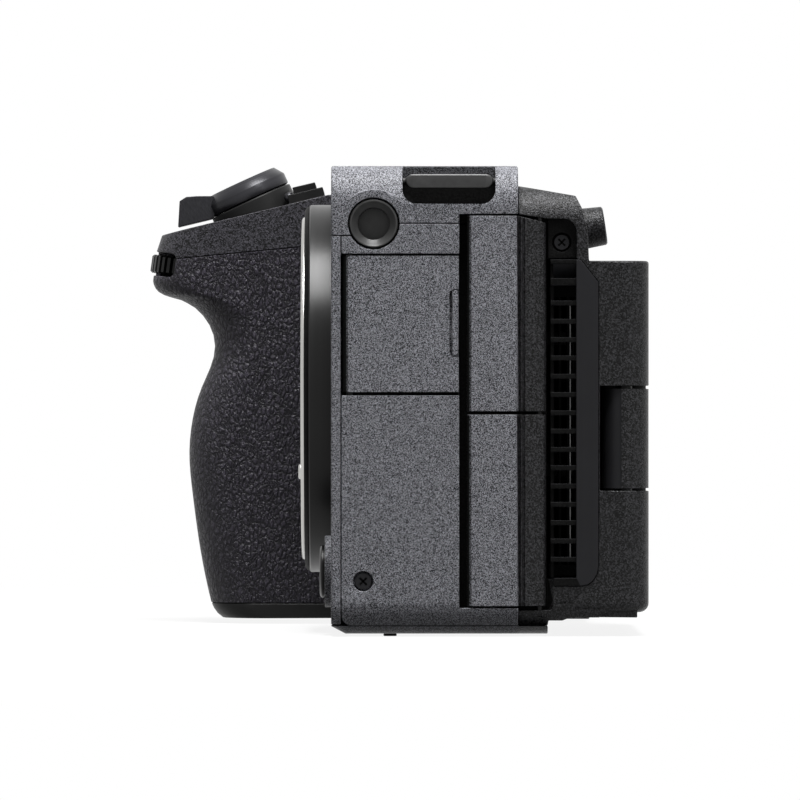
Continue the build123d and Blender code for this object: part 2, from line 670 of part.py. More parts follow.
# Sensor carrier: moves up and down on the stage and holds the sensor's face
with BuildPart() as sensor_carrier:
    block((-20.0, sensor_y - 0.6, 27.0), (20.0, sensor_y + 2.6, 54.3))
    block((-17.8, sensor_y - 1.0, 28.7), (17.8, sensor_y, 52.6), Mode.SUBTRACT)
sensor_carrier.part.label = "sensor_carrier"
export_step(sensor_carrier.part, "parts/sensor_carrier.step")

# Cover glass over the sensor
with BuildPart() as sensor_glass:
    block((-19.0, sensor_y - 1.8, 27.8), (19.0, sensor_y - 0.6, 53.5))
    chamfer(sensor_glass.edges().group_by(Axis.Y)[0], 0.3)
sensor_glass.part.label = "sensor_glass"
export_step(sensor_glass.part, "parts/sensor_glass.step")

# Main circuit board with its larger chips
with BuildPart() as main_board:
    block((-42.0, 14.6, 6.0), (26.0, 15.8, 64.0))
    block((-12.0, 15.8, 32.0), (4.0, 17.2, 48.0))
    block((-34.0, 15.8, 20.0), (-22.0, 17.0, 30.0))
    block((-34.0, 15.8, 46.0), (-22.0, 17.0, 56.0))
main_board.part.label = "main_board"
export_step(main_board.part, "parts/main_board.step")

# Heat sink: four upright fins between two end blocks, behind the vent bars
with BuildPart() as heat_sink:
    block((27.0, 23.6, 55.8), (37.8, 28.4, 57.6))
    block((27.0, 23.6, 9.6), (37.8, 28.4, 11.4))
    for index in range(4):
        y = 23.8 + index * 1.35
        block((27.0, y, 11.0), (37.8, y + 0.4, 56.0))
heat_sink.part.label = "heat_sink"
export_step(heat_sink.part, "parts/heat_sink.step")

# Fan: a square housing that blows sideways through the heat sink
fan_centre = (13.5, 38.0)
with BuildPart() as fan_housing:
    block((1.5, 20.0, 26.0), (25.5, 28.6, 50.0))
    rod(10.9, (fan_centre[0], 20.9, fan_centre[1]), (fan_centre[0], 30, fan_centre[1]), Mode.SUBTRACT)
    block((18.0, 20.9, 28.0), (26.0, 27.6, 48.0), Mode.SUBTRACT)
    rod(0.8, (fan_centre[0], 20.0, fan_centre[1]), (fan_centre[0], 27.4, fan_centre[1]))
fan_housing.part.label = "fan_housing"
export_step(fan_housing.part, "parts/fan_housing.step")

# Fan impeller: hub and eleven blades
with BuildPart() as fan_impeller:
    rod(3.6, (fan_centre[0], 21.4, fan_centre[1]), (fan_centre[0], 28.0, fan_centre[1]))
    for index in range(11):
        turn = index * 360 / 11
        with Locations(Location((fan_centre[0], 24.8, fan_centre[1]), (0, turn, 0))):
            with Locations(Location((6.6, 0, 0), (0, 25, 0))):
                Box(6.9, 5.2, 0.5)
    rod(0.85, (fan_centre[0], 21.0, fan_centre[1]), (fan_centre[0], 27.5, fan_centre[1]), Mode.SUBTRACT)
fan_impeller.part.label = "fan_impeller"
export_step(fan_impeller.part, "parts/fan_impeller.step")


# A flat metal shell with a tongue, open towards the doors
def shell_socket(y, z, thick, tall, depth, wall):
    block((door_floor_x - depth, y - thick / 2, z - tall / 2), (door_floor_x, y + thick / 2, z + tall / 2))
    block(
        (door_floor_x - depth + 1, y - thick / 2 + wall, z - tall / 2 + wall),
        (door_floor_x + 1, y + thick / 2 - wall, z + tall / 2 - wall), Mode.SUBTRACT,
    )
    block(
        (door_floor_x - depth, y - thick / 8, z - tall / 2 + 2 * wall + 0.3),
        (door_floor_x - 0.8, y + thick / 8, z + tall / 2 - 2 * wall - 0.3),
    )


# Connector sockets: two small round jacks, one wide and two narrow flat sockets
with BuildPart() as port_sockets:
    for y, z, mouth in ((-1.0, 51.0, mic_floor_x), (14.2, 62.0, door_floor_x)):
        rod(3.0, (28.0, y, z), (mouth, y, z))
        rod(1.8, (29.5, y, z), (mouth + 1, y, z), Mode.SUBTRACT)
    shell_socket(14.2, 51.0, 5.6, 15.0, 11.0, 0.5)
    shell_socket(14.2, 27.75, 3.4, 9.5, 8.0, 0.35)
    shell_socket(14.2, 13.75, 3.4, 8.5, 8.0, 0.35)
port_sockets.part.label = "port_sockets"
export_step(port_sockets.part, "parts/port_sockets.step")

# Strap bars, one on each side, each on a thin pin across its recess
with BuildPart() as strap_bars:
    for x, middle, height, half in ((42.6, 7.0, 74.8, 7.2), (-82.9, 9.3, 71.8, 6.9)):
        with BuildSketch(Plane.YZ.offset(x - 0.95)):
            with Locations((middle, height)):
                SlotOverall(2 * half, 2.4)
        extrude(amount=1.9)
        rod(strap_pin, (x, middle - half - 1.4, height), (x, middle + half + 1.4, height))
strap_bars.part.label = "strap_bars"
export_step(strap_bars.part, "parts/strap_bars.step")

# Thread inserts: tripod thread, one in each side and three in the top
with BuildPart() as thread_inserts:
    for name, plane in insert_planes.items():
        with Locations(plane):
            with Locations((0, 0, -insert_depth / 2 - 0.4)):
                Cylinder(insert_radius, insert_depth + 0.8)
            with Locations((0, 0, -insert_depth / 2)):
                Cylinder(insert_bore, insert_depth, mode=Mode.SUBTRACT)
            if name != "tripod":
                with Locations((0, 0, -0.6)):
                    Cone(insert_bore + 0.1, insert_radius - 0.25, 1.2, mode=Mode.SUBTRACT)
thread_inserts.part.label = "thread_inserts"
export_step(thread_inserts.part, "parts/thread_inserts.step")

# Accessory shoe, sunk in the top cover and open at the back
with BuildPart() as accessory_shoe:
    block((-11.0, -4.9, 73.65), (11.0, 18.3, 74.5))
    for side in (-1, 1):
        block((side * 9.3, -4.9, 74.4), (side * 11.0, 18.3, 77.4))
        block((side * 6.25, -4.9, 76.6), (side * 11.0, 18.3, 77.4))
    block((-11.0, -4.9, 74.4), (11.0, -3.4, 77.4))
accessory_shoe.part.label = "accessory_shoe"
export_step(accessory_shoe.part, "parts/accessory_shoe.step")

# Recording lamps: one in the front of the top cover and one behind the shoe
with BuildPart() as tally_lamps:
    block((29.9, -12.5, 71.3), (36.1, -11.3, 72.9))
    block((-2.4, 16.1, 75.7), (2.4, 16.9, 76.3))
tally_lamps.part.label = "tally_lamps"
export_step(tally_lamps.part, "parts/tally_lamps.step")

# Battery pack in the grip
with BuildPart() as battery:
    block((-79.0, -25.0, 3.7), (-56.3, 13.7, 55.4))
    fillet(battery.edges().filter_by(Axis.Z), 1.5)
battery.part.label = "battery"
export_step(battery.part, "parts/battery.step")

# Card reader with two slots behind the card door
with BuildPart() as card_reader:
    block((-82.0, 15.1, 20.0), (-49.0, 25.8, 54.0))
    for y in (18.0, 22.9):
        block((-83.0, y - 1.2, 24.7), (-53.0, y + 1.2, 49.3), Mode.SUBTRACT)
card_reader.part.label = "card_reader"
export_step(card_reader.part, "parts/card_reader.step")

# Screws of the covers and of the lens flange
with BuildPart() as screws:
    for plane, head in cover_screws:
        add(plane.location * cross_screw(head, 7.0))
    for plane, head in flange_screws:
        add(plane.location * cross_screw(head, 4.2))
screws.part.label = "screws"
export_step(screws.part, "parts/screws.step")

# Four small rubber feet
with BuildPart() as rubber_feet:
    for x, y in ((37.0, -2.8), (12.0, 19.0), (-42.0, -2.8), (-42.0, 19.0)):
        rod(1.1, (x, y, -0.4), (x, y, 0))
rubber_feet.part.label = "rubber_feet"
export_step(rubber_feet.part, "parts/rubber_feet.step")

# Hinge pins: the screen's, then those of the doors
with BuildPart() as hinge_pins:
    rod(swing_pin_radius, (*swing_axis, 17.0), (*swing_axis, 48.0))
    rod(pin_radius, (*mic_axis, 38.5), (*mic_axis, 63.9))
    rod(pin_radius, (*door_axis, 3.0), (*door_axis, 69.85))
    rod(pin_radius, (-83.6, 7.1, 15.7), (-83.6, 7.1, 58.3))
    rod(pin_radius, (-54.9, -27.4, 1.75), (-54.9, 16.4, 1.75))
hinge_pins.part.label = "hinge_pins"
export_step(hinge_pins.part, "parts/hinge_pins.step")

# Hinge arm: a knuckle on the screen's pin and an arm with a stub in the panel
with BuildPart() as hinge_arm:
    rod(knuckle_radius, (*swing_axis, knuckle_z[0]), (*swing_axis, knuckle_z[1]))
    block((33.6, 33.2, 25.2), (37.5, 38.8, 39.6))
    rod(1.4, (24.0, 36.0, 32.4), (34.0, 36.0, 32.4))
    rod(swing_pin_radius + pin_gap, (*swing_axis, 20), (*swing_axis, 45), Mode.SUBTRACT)
hinge_arm.part.label = "hinge_arm"
export_step(hinge_arm.part, "parts/hinge_arm.step")


# A plate seen from behind, with rounded corners, between two depths
def rear_plate(low_x, high_x, low_z, high_z, corner, near, far, mode=Mode.ADD):
    with BuildSketch(Plane.XZ.offset(-far)) as plate:
        with Locations(((low_x + high_x) / 2, (low_z + high_z) / 2)):
            RectangleRounded(high_x - low_x, high_z - low_z, corner)
    extrude(plate.sketch, amount=far - near, mode=mode)


# Panel back: the tray of the screen
with BuildPart() as panel_back:
    rear_plate(*panel_x, *panel_z, 3.0, panel_y[0], bezel_y)
    fillet(panel_back.edges().group_by(Axis.Y)[0], 1.0)
    rear_plate(-37.0, 22.0, 8.0, 57.0, 1.0, 34.6, bezel_y + 1, Mode.SUBTRACT)
    block((33.5, 33.0, 25.0), (35, 40, 39.8), Mode.SUBTRACT)
    rod(1.45, (23.5, 36.0, 32.4), (35.0, 36.0, 32.4), Mode.SUBTRACT)
panel_back.part.label = "panel_back"
export_step(panel_back.part, "parts/panel_back.step")

# Panel front: the frame round the screen
with BuildPart() as panel_front:
    rear_plate(*panel_x, *panel_z, 3.0, bezel_y, panel_y[1])
    fillet(panel_front.edges().group_by(Axis.Y)[-1], 0.8)
    rear_plate(-36.5, 31.0, 8.6, 56.6, 0.8, 38.6, 41, Mode.SUBTRACT)
    rear_plate(-33.5, 28.0, 11.0, 54.0, 0.4, 36, 41, Mode.SUBTRACT)
    block((33.5, 33.0, 25.0), (35, 38.9, 39.8), Mode.SUBTRACT)
panel_front.part.label = "panel_front"
export_step(panel_front.part, "parts/panel_front.step")

# Screen glass in the frame's rebate
with BuildPart() as screen_glass:
    rear_plate(-36.4, 30.9, 8.7, 56.5, 0.7, 38.6, 39.5)
screen_glass.part.label = "screen_glass"
export_step(screen_glass.part, "parts/screen_glass.step")

# Microphone door: round hinge edge in front, finger notch at its free edge
with BuildPart() as mic_door:
    with BuildSketch(Plane.XY.offset(mic_door_z[0])):
        with Locations(mic_axis):
            Circle(1.1)
        with Locations(((mic_axis[0]), (mic_axis[1] + mic_door_y[1]) / 2)):
            Rectangle(2.2, mic_door_y[1] - mic_axis[1])
    extrude(amount=mic_door_z[1] - mic_door_z[0])
    with BuildSketch(Plane.YZ.offset(left_x)):
        with Locations((8.2, 51.4)):
            RectangleRounded(2.4, 11.2, 0.9)
    extrude(amount=-1.1, mode=Mode.SUBTRACT)
    rod(pin_radius + pin_gap, (*mic_axis, 39), (*mic_axis, 64), Mode.SUBTRACT)
mic_door.part.label = "mic_door"
export_step(mic_door.part, "parts/mic_door.step")


# A rear door: light panel, double groove and dark strip round to its hinge edge
def rear_door(low, high):
    with BuildPart() as door:
        with BuildSketch(Plane.XY.offset(low)):
            with BuildLine():
                Line((42.8, 9.85), (44.1, 9.85))
                RadiusArc((44.1, 9.85), (45.0, 10.75), -0.9)
                Polyline(
                    (45.0, 10.75), (45.0, 18.1), (44.2, 18.4), (43.8, 18.4), (43.8, 18.65), (44.3, 18.7),
                    (44.3, 19.05), (43.7, 19.1), (43.7, 19.35), (44.0, 19.45), (43.25, 21.9),
                )
                RadiusArc((43.25, 21.9), (41.1, 21.9), -1.075)
                Polyline((41.1, 21.9), (41.1, 18.9), (42.8, 17.6), (42.8, 9.85))
            make_face()
        extrude(amount=high - low)
        rod(pin_radius + pin_gap, (*door_axis, low - 1), (*door_axis, high + 1), Mode.SUBTRACT)
    return door.part


# Upper and lower connector doors
with BuildPart() as upper_door:
    add(rear_door(*upper_door_z))
    add(side_prism(
        ((18.45, upper_door_z[1]), (23.2, door_slope_z - 0.7), (23.2, 72.0), (18.45, 72.0)), 38, 46,
    ), mode=Mode.SUBTRACT)
upper_door.part.label = "upper_door"
export_step(upper_door.part, "parts/upper_door.step")

with BuildPart() as lower_door:
    add(rear_door(*lower_door_z))
lower_door.part.label = "lower_door"
export_step(lower_door.part, "parts/lower_door.step")

# Card door in the outer side of the grip
with BuildPart() as card_door:
    with BuildSketch(Plane.XY.offset(17.0)):
        with Locations((-83.6, 7.1)):
            Circle(1.1)
        with Locations((-83.6, (7.1 + 25.1) / 2)):
            Rectangle(2.2, 18.0)
    extrude(amount=40.0)
    rod(pin_radius + pin_gap, (-83.6, 7.1, 16), (-83.6, 7.1, 58), Mode.SUBTRACT)
card_door.part.label = "card_door"
export_step(card_door.part, "parts/card_door.step")

# Battery door in the base of the grip, with the pocket of its latch
with BuildPart() as battery_door:
    rod(1.1, (-54.9, -25.9, 1.75), (-54.9, 14.9, 1.75))
    block((-79.8, -25.9, 0.65), (-54.9, 14.9, 2.85))
    block((-78.6, -10.0, 0), (-74.4, 4.0, 1.6), Mode.SUBTRACT)
    rod(pin_radius + pin_gap, (-54.9, -27, 1.75), (-54.9, 16, 1.75), Mode.SUBTRACT)
battery_door.part.label = "battery_door"
export_step(battery_door.part, "parts/battery_door.step")

# Latch that slides in the battery door
with BuildPart() as battery_latch:
    block((-78.3, -9.7, 0.75), (-74.7, -2.0, 1.5))
    for index in range(4):
        y = -8.6 + index * 1.6
        block((-77.9, y, 0.6), (-75.1, y + 0.5, 0.8))
battery_latch.part.label = "battery_latch"
export_step(battery_latch.part, "parts/battery_latch.step")

# Lens release button, slightly domed at its rim
with BuildPart() as release_button:
    rod(4.4, (release_centre[0], -14.5, release_centre[1]), (release_centre[0], -11.6, release_centre[1]))
    fillet(release_button.edges().filter_by(GeomType.CIRCLE).group_by(Axis.Y)[0], 0.5)
release_button.part.label = "release_button"
export_step(release_button.part, "parts/release_button.step")

# Lens lock pin, drawn back by the release button
with BuildPart() as lock_pin:
    rod(1.3, (lock_x, -18.15, lock_z), (lock_x, -14.0, lock_z))
    fillet(lock_pin.edges().filter_by(GeomType.CIRCLE).group_by(Axis.Y)[0], 0.4)
lock_pin.part.label = "lock_pin"
export_step(lock_pin.part, "parts/lock_pin.step")

# Zoom lever: a chamfered ring round the record button, with a tab towards the front
with BuildPart() as zoom_lever:
    with Locations(zoom_plane):
        with Locations((0, 0, -zoom_slope / 2)):
            Cylinder(zoom_radius, zoom_thick - zoom_slope)
        with Locations((0, 0, (zoom_thick - zoom_slope) / 2)):
            Cone(zoom_radius, zoom_top_radius, zoom_slope)
    add(side_prism(
        ((-40.12, 69.05), (-39.86, 73.6), (-38.7, 74.35), (-36.9, 74.5), (-32.5, 74.5),
         (-33.0, 71.9), (-34.2, 70.47)), zoom_centre[0] - 3.0, zoom_centre[0] + 3.0,
    ))
    with Locations(zoom_plane):
        Cylinder(record_radius + 0.3, 3 * zoom_thick, mode=Mode.SUBTRACT)
zoom_lever.part.label = "zoom_lever"
export_step(zoom_lever.part, "parts/zoom_lever.step")

# Record button on a thin stem
with BuildPart() as record_button:
    with Locations(zoom_plane):
        with Locations((0, 0, 0.4)):
            Cylinder(record_radius, 2.8)
        with Locations((0, 0, -2.8)):
            Cylinder(1.5, 3.4)
record_button.part.label = "record_button"
export_step(record_button.part, "parts/record_button.step")

# Front and rear dials
with BuildPart() as front_dial:
    add(dial_front.location * knurled_disc(dial_radius, dial_thick, 72, 1.5, 8.4))
front_dial.part.label = "front_dial"
export_step(front_dial.part, "parts/front_dial.step")

with BuildPart() as rear_dial:
    add(dial_rear.location * knurled_disc(dial_radius, dial_thick, 72, 1.5, 6.4))
rear_dial.part.label = "rear_dial"
export_step(rear_dial.part, "parts/rear_dial.step")

# Control wheel: a ring with a raised rim
with BuildPart() as control_wheel:
    with Locations(wheel_plane):
        Cylinder(wheel_radius, 3.2)
        with Locations((0, 0, 1.6)):
            Cylinder(wheel_radius - 1.6, 1.0, mode=Mode.SUBTRACT)
        Cylinder(5.2, 6.0, mode=Mode.SUBTRACT)
control_wheel.part.label = "control_wheel"
export_step(control_wheel.part, "parts/control_wheel.step")

# Button in the middle of the wheel, on a stem
with BuildPart() as wheel_button:
    with Locations(wheel_plane):
        with Locations((0, 0, -0.1)):
            Cylinder(4.8, 2.6)
        with Locations((0, 0, -2.3)):
            Cylinder(1.7, 2.6)
wheel_button.part.label = "wheel_button"
export_step(wheel_button.part, "parts/wheel_button.step")

# Joystick gimbal: a ring on two stub shafts
with BuildPart() as joystick_gimbal:
    with Locations(stick_plane):
        Cylinder(3.4, 1.6)
        Cylinder(2.3, 2.0, mode=Mode.SUBTRACT)
    for side in (-1, 1):
        root = Vector(stick_end[0] + side * 2.9, stick_pivot.Y, stick_pivot.Z)
        tip = Vector(stick_end[0] + side * 4.7, stick_pivot.Y, stick_pivot.Z)
        rod(0.6, root, tip)
    upright = stick_plane.y_dir
    rod(0.55, stick_pivot - upright * 4, stick_pivot + upright * 4, Mode.SUBTRACT)
joystick_gimbal.part.label = "joystick_gimbal"
export_step(joystick_gimbal.part, "parts/joystick_gimbal.step")

# Joystick cap
with BuildPart() as joystick:
    with Locations(stick_plane):
        with Locations((0, 0, stick_reach - stick_cap / 2)):
            Cylinder(stick_radius, stick_cap)
joystick.part.label = "joystick"
export_step(joystick.part, "parts/joystick.step")

# Joystick stem under the cap, with the cross pin in the gimbal
with BuildPart() as joystick_stem:
    stem = stick_reach - stick_cap + 0.5
    with Locations(stick_plane):
        with Locations((0, 0, stem / 2 - 0.5)):
            Cylinder(1.3, stem)
    rod(0.5, stick_pivot - upright * 3.1, stick_pivot + upright * 3.1)
joystick_stem.part.label = "joystick_stem"
export_step(joystick_stem.part, "parts/joystick_stem.step")

# Power switch: a disc with a lever, on the deck
with BuildPart() as power_switch:
    with Locations(switch_plane):
        with Locations((0, 0, 1.3)):
            Cylinder(4.2, 2.2)
        with Locations((0, -4.6, 1.3)):
            Box(2.4, 3.6, 2.2)
        with Locations((0, 0, -1.2)):
            Cylinder(1.5, 5.0)
power_switch.part.label = "power_switch"
export_step(power_switch.part, "parts/power_switch.step")


# A round button in the rear panel
def rear_button(x, z):
    with BuildPart() as button:
        rod(button_radius, (x, 30.2, z), (x, 32.8, z))
        chamfer(button.edges().filter_by(GeomType.CIRCLE).group_by(Axis.Y)[-1], 0.3)
    return button.part


# A flat button in the sloping deck
def deck_button(x):
    with BuildPart() as button:
        with Locations(Plane(origin=(x, -17.4, deck_height(-17.4)), x_dir=(1, 0, 0), z_dir=deck_normal)):
            with Locations((0, 0, 0.75)):
                Box(6.5, 4.1, 3.9)
    return button.part


# The buttons, one node each
for name, place in rear_buttons.items():
    button = rear_button(*place)
    button.label = name
    export_step(button, f"parts/{name}.step")
for name, x in top_buttons.items():
    button = deck_button(x)
    button.label = name
    export_step(button, f"parts/{name}.step")
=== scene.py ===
import bmesh
import bpy
import json
import math
from mathutils import Matrix, Vector
from mathutils.bvhtree import BVHTree


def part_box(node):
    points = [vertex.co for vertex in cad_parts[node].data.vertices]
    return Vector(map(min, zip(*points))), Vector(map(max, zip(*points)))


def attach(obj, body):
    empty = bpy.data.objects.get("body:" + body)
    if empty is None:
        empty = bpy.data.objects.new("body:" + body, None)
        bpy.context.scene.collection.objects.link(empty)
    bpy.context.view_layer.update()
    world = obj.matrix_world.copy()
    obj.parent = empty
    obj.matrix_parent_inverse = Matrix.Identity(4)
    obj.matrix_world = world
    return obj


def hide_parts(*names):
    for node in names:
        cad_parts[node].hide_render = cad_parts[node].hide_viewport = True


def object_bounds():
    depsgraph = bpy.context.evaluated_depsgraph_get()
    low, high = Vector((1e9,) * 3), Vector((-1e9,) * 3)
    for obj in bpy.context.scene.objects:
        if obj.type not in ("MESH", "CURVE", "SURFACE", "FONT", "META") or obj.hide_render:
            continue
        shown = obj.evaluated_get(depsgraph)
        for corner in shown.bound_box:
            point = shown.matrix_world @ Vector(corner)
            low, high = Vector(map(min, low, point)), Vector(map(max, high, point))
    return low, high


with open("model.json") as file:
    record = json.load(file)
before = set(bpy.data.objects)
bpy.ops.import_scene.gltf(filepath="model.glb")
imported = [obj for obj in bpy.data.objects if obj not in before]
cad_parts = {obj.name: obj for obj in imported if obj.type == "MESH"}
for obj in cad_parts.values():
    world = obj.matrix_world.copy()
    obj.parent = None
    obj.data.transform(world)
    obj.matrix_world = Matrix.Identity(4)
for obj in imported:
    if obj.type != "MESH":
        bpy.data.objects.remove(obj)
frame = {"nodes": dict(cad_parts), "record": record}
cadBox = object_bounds()
scene = bpy.context.scene
mm = 0.001
bodyOf = {node: body for body, nodes in frame["record"]["behaviour"]["bodies"].items() for node in nodes}
print("frame loaded with", len(bodyOf), "nodes")


# Wraps a shader socket, so that an expression on it adds its Math nodes
class Wire:
    def __init__(self, graph, socket):
        self.graph = graph
        self.socket = socket

    def maths(self, operation, first, second):
        return self.graph.node("Math", {"operation": operation}, {0: first, 1: second})

    def __add__(self, other):
        return self.maths("ADD", self, other)

    def __radd__(self, other):
        return self.maths("ADD", other, self)

    def __sub__(self, other):
        return self.maths("SUBTRACT", self, other)

    def __rsub__(self, other):
        return self.maths("SUBTRACT", other, self)

    def __mul__(self, other):
        return self.maths("MULTIPLY", self, other)

    def __rmul__(self, other):
        return self.maths("MULTIPLY", other, self)

    def __pow__(self, other):
        return self.maths("POWER", self, other)

    def __gt__(self, other):
        return self.maths("GREATER_THAN", self, other)

    def __lt__(self, other):
        return self.maths("LESS_THAN", self, other)


# A node tree, and the one way to add a node to it
class Graph:
    def __init__(self, tree):
        self.tree = tree

    def node(self, kind, settings=None, values=None, output=0):
        made = self.tree.nodes.new("ShaderNode" + kind)
        for name, value in (settings or {}).items():
            if name == "stops":
                self.setStops(made.color_ramp.elements, value)
            else:
                setattr(made, name, value)
        for name, value in (values or {}).items():
            self.join(value, made.inputs[name])
        if len(made.outputs):
            return Wire(self, made.outputs[output])

    # Stops of a ramp as (position, grey)
    def setStops(self, elements, stops):
        while len(elements) < len(stops):
            elements.new(0.5)
        for element, (position, grey) in zip(elements, stops):
            element.position = position
            element.color = (grey, grey, grey, 1)

    def join(self, value, socket):
        if isinstance(value, Wire):
            self.tree.links.new(value.socket, socket)
        else:
            socket.default_value = value


# A material, the slot of the record that it belongs to, and the patterns that feed it
class Finish(Graph):
    def __init__(self, name, slot, fixed):
        self.slot = slot
        self.material = bpy.data.materials.new(name)
        self.material.use_nodes = True
        super().__init__(self.material.node_tree)
        self.shader = self.tree.nodes["Principled BSDF"]
        for socket, value in fixed.items():
            self.shader.inputs[socket].default_value = value

    def feed(self, **wires):
        sockets = {"colour": "Base Color", "roughness": "Roughness", "normal": "Normal"}
        for name, wire in wires.items():
            self.join(wire, self.shader.inputs[sockets[name]])

    # The place on the piece in metres
    def place(self):
        return self.node("TexCoord", output="Object")

    # Soft noise whose lumps are about size millimetres across
    def noise(self, size, detail=2.0, place=None, output=0):
        values = {"Vector": place or self.place(), "Scale": 1 / (size * mm), "Detail": detail}
        return self.node("TexNoise", {}, values, output)

    # Cells about size millimetres across: a distance, or a random colour for each cell
    def cells(self, size, feature="F1", output="Distance", place=None):
        values = {"Vector": place or self.place(), "Scale": 1 / (size * mm)}
        return self.node("TexVoronoi", {"feature": feature}, values, output)

    def ramp(self, wire, *stops):
        return self.node("ValToRGB", {"stops": stops}, {0: wire})

    # Colours mixed by a share, first at 0 and second at 1
    def blend(self, share, first, second):
        return self.node("Mix", {"data_type": "RGBA"}, {0: share, 6: first, 7: second}, 2)

    def bump(self, height, depth, strength=1.0):
        return self.node("Bump", {}, {"Height": height, "Distance": depth * mm, "Strength": strength})


def shade(red, green=None, blue=None):
    return (red, red if green is None else green, red if blue is None else blue, 1)


finishes = {}

# In each look, flake, cloud, grain, pebble, pore, mark and depth are sizes in millimetres
paints = {
    "bodyPaint": {
        "slot": "body_paint", "dark": shade(0.016, 0.0163, 0.0185), "light": shade(0.34, 0.344, 0.375),
        "metal": 0.0, "sheen": 0.1, "rough": 0.34, "flake": 0.11, "cloud": 0.8, "drift": 0.06,
        "grain": 0.14, "depth": 0.04, "strength": 1.0, "low": 0.38, "high": 0.92,
    },
    # Painted shade: the body paint made darker, for surfaces that turn away from the light
    "paintedShadeCoat": {
        "slot": "body_paint", "dark": shade(0.006), "light": shade(0.12, 0.122, 0.134),
        "metal": 0.0, "sheen": 0.08, "rough": 0.4, "flake": 0.13, "cloud": 0.8, "drift": 0.08,
        "grain": 0.14, "depth": 0.03, "strength": 1.0, "low": 0.36, "high": 0.96,
    },
    "darkCasing": {
        "slot": "dark_casing", "dark": shade(0.0015), "light": shade(0.04, 0.04, 0.043),
        "metal": 0.1, "sheen": 0.16, "rough": 0.24, "flake": 0.22, "cloud": 0.9, "drift": 0.1,
        "grain": 0.24, "depth": 0.12, "strength": 1.0, "low": 0.42, "high": 0.95,
    },
    # Near-black: painted shade for grooves, pocket floors, holes, wells and what lies behind the vent, and
    # the plain black of the flange's seat
    "recess": {
        "slot": "smooth_black", "dark": shade(0.002), "light": shade(0.006),
        "metal": 0.0, "sheen": 0.05, "rough": 0.5, "flake": 0.24, "cloud": 0.9, "drift": 0.1,
        "grain": 0.26, "depth": 0.02, "strength": 0.7, "low": 0.32, "high": 0.92,
    },
    "gripPlastic": {
        "slot": "smooth_black", "dark": shade(0.0016, 0.0016, 0.002), "light": shade(0.06, 0.058, 0.068),
        "metal": 0.1, "sheen": 0.2, "rough": 0.36, "flake": 0.22, "cloud": 0.9, "drift": 0.1,
        "grain": 0.28, "depth": 0.1, "strength": 1.0, "low": 0.36, "high": 0.9,
    },
}
paintShares = {"flake": 0.8, "fine": 0.28, "gloss": 0.14, "grit": 0.5}


# Textured paint: a granular coat, every grain of it a little lighter or darker
def paint(name, look):
    finish = Finish(name, look["slot"], {"Metallic": look["metal"], "Specular IOR Level": look["sheen"]})
    flake = finish.node("SeparateColor", {}, {0: finish.cells(look["flake"], output="Color")})
    fine = finish.noise(look["flake"])
    cloud = finish.noise(look["cloud"], 3)
    grain = finish.noise(look["grain"], 3)
    share = flake * paintShares["flake"] + fine * paintShares["fine"] + cloud * look["drift"]
    share = finish.ramp(share, (look["low"], 0), (look["high"], 1))
    height = grain + paintShares["grit"] * flake
    finish.feed(
        colour=finish.blend(share, look["dark"], look["light"]),
        roughness=look["rough"] + paintShares["gloss"] * cloud,
        normal=finish.bump(height, look["depth"], look["strength"]),
    )
    return finish


for name, look in paints.items():
    finishes[name] = paint(name, look)

mouldings = {
    "smoothBlack": {
        "slot": "smooth_black", "dark": shade(0.006), "light": shade(0.014), "metal": 0.0, "sheen": 0.14,
        "rough": 0.34, "patch": 0.12, "cloud": 7.0, "grain": 0.4, "depth": 0.006,
    },
    "ventPlate": {
        "slot": "smooth_black", "dark": shade(0.011, 0.011, 0.012), "light": shade(0.016, 0.016, 0.018),
        "metal": 0.0, "sheen": 0.12, "rough": 0.46, "patch": 0.1, "cloud": 6.0, "grain": 0.3,
        "depth": 0.006,
    },
    "plainRubber": {
        "slot": "rubber", "dark": shade(0.006), "light": shade(0.012), "metal": 0.0, "sheen": 0.12,
        "rough": 0.66, "patch": 0.1, "cloud": 1.5, "grain": 0.25, "depth": 0.02,
    },
    "blackMetal": {
        "slot": "dark_metal", "dark": shade(0.004), "light": shade(0.012), "metal": 0.15, "sheen": 0.14,
        "rough": 0.26, "patch": 0.1, "cloud": 3.0, "grain": 0.18, "depth": 0.004,
    },
    "insertMetal": {
        "slot": "dark_metal", "dark": shade(0.026), "light": shade(0.055), "metal": 0.3, "sheen": 0.3,
        "rough": 0.28, "patch": 0.12, "cloud": 1.4, "grain": 0.16, "depth": 0.006,
    },
    "aluminium": {
        "slot": "aluminium", "dark": shade(0.42), "light": shade(0.6), "metal": 1.0, "sheen": 0.5,
        "rough": 0.34, "patch": 0.14, "cloud": 4.0, "grain": 0.3, "depth": 0.004,
    },
    "finMetal": {
        "slot": "aluminium", "dark": shade(0.12), "light": shade(0.2), "metal": 1.0, "sheen": 0.5,
        "rough": 0.3, "patch": 0.14, "cloud": 2.0, "grain": 0.3, "depth": 0.004,
    },
    "gold": {
        "slot": "gold", "dark": shade(0.62, 0.4, 0.12), "light": shade(0.85, 0.62, 0.25), "metal": 1.0,
        "sheen": 0.5, "rough": 0.2, "patch": 0.12, "cloud": 0.8, "grain": 0.2, "depth": 0.003,
    },
    "board": {
        "slot": "board", "dark": shade(0.008, 0.04, 0.018), "light": shade(0.02, 0.09, 0.04), "metal": 0.0,
        "sheen": 0.5, "rough": 0.3, "patch": 0.2, "cloud": 1.6, "grain": 0.5, "depth": 0.02,
    },
    "lamp": {
        "slot": "lamp", "dark": shade(0.09, 0.004, 0.004), "light": shade(0.16, 0.008, 0.008), "metal": 0.0,
        "sheen": 0.5, "rough": 0.12, "patch": 0.08, "cloud": 1.0, "grain": 0.6, "depth": 0.004,
    },
    "whiteMark": {
        "slot": "smooth_black", "dark": shade(0.5), "light": shade(0.62), "metal": 0.0, "sheen": 0.3,
        "rough": 0.4, "patch": 0.1, "cloud": 0.8, "grain": 0.3, "depth": 0.004,
    },
}


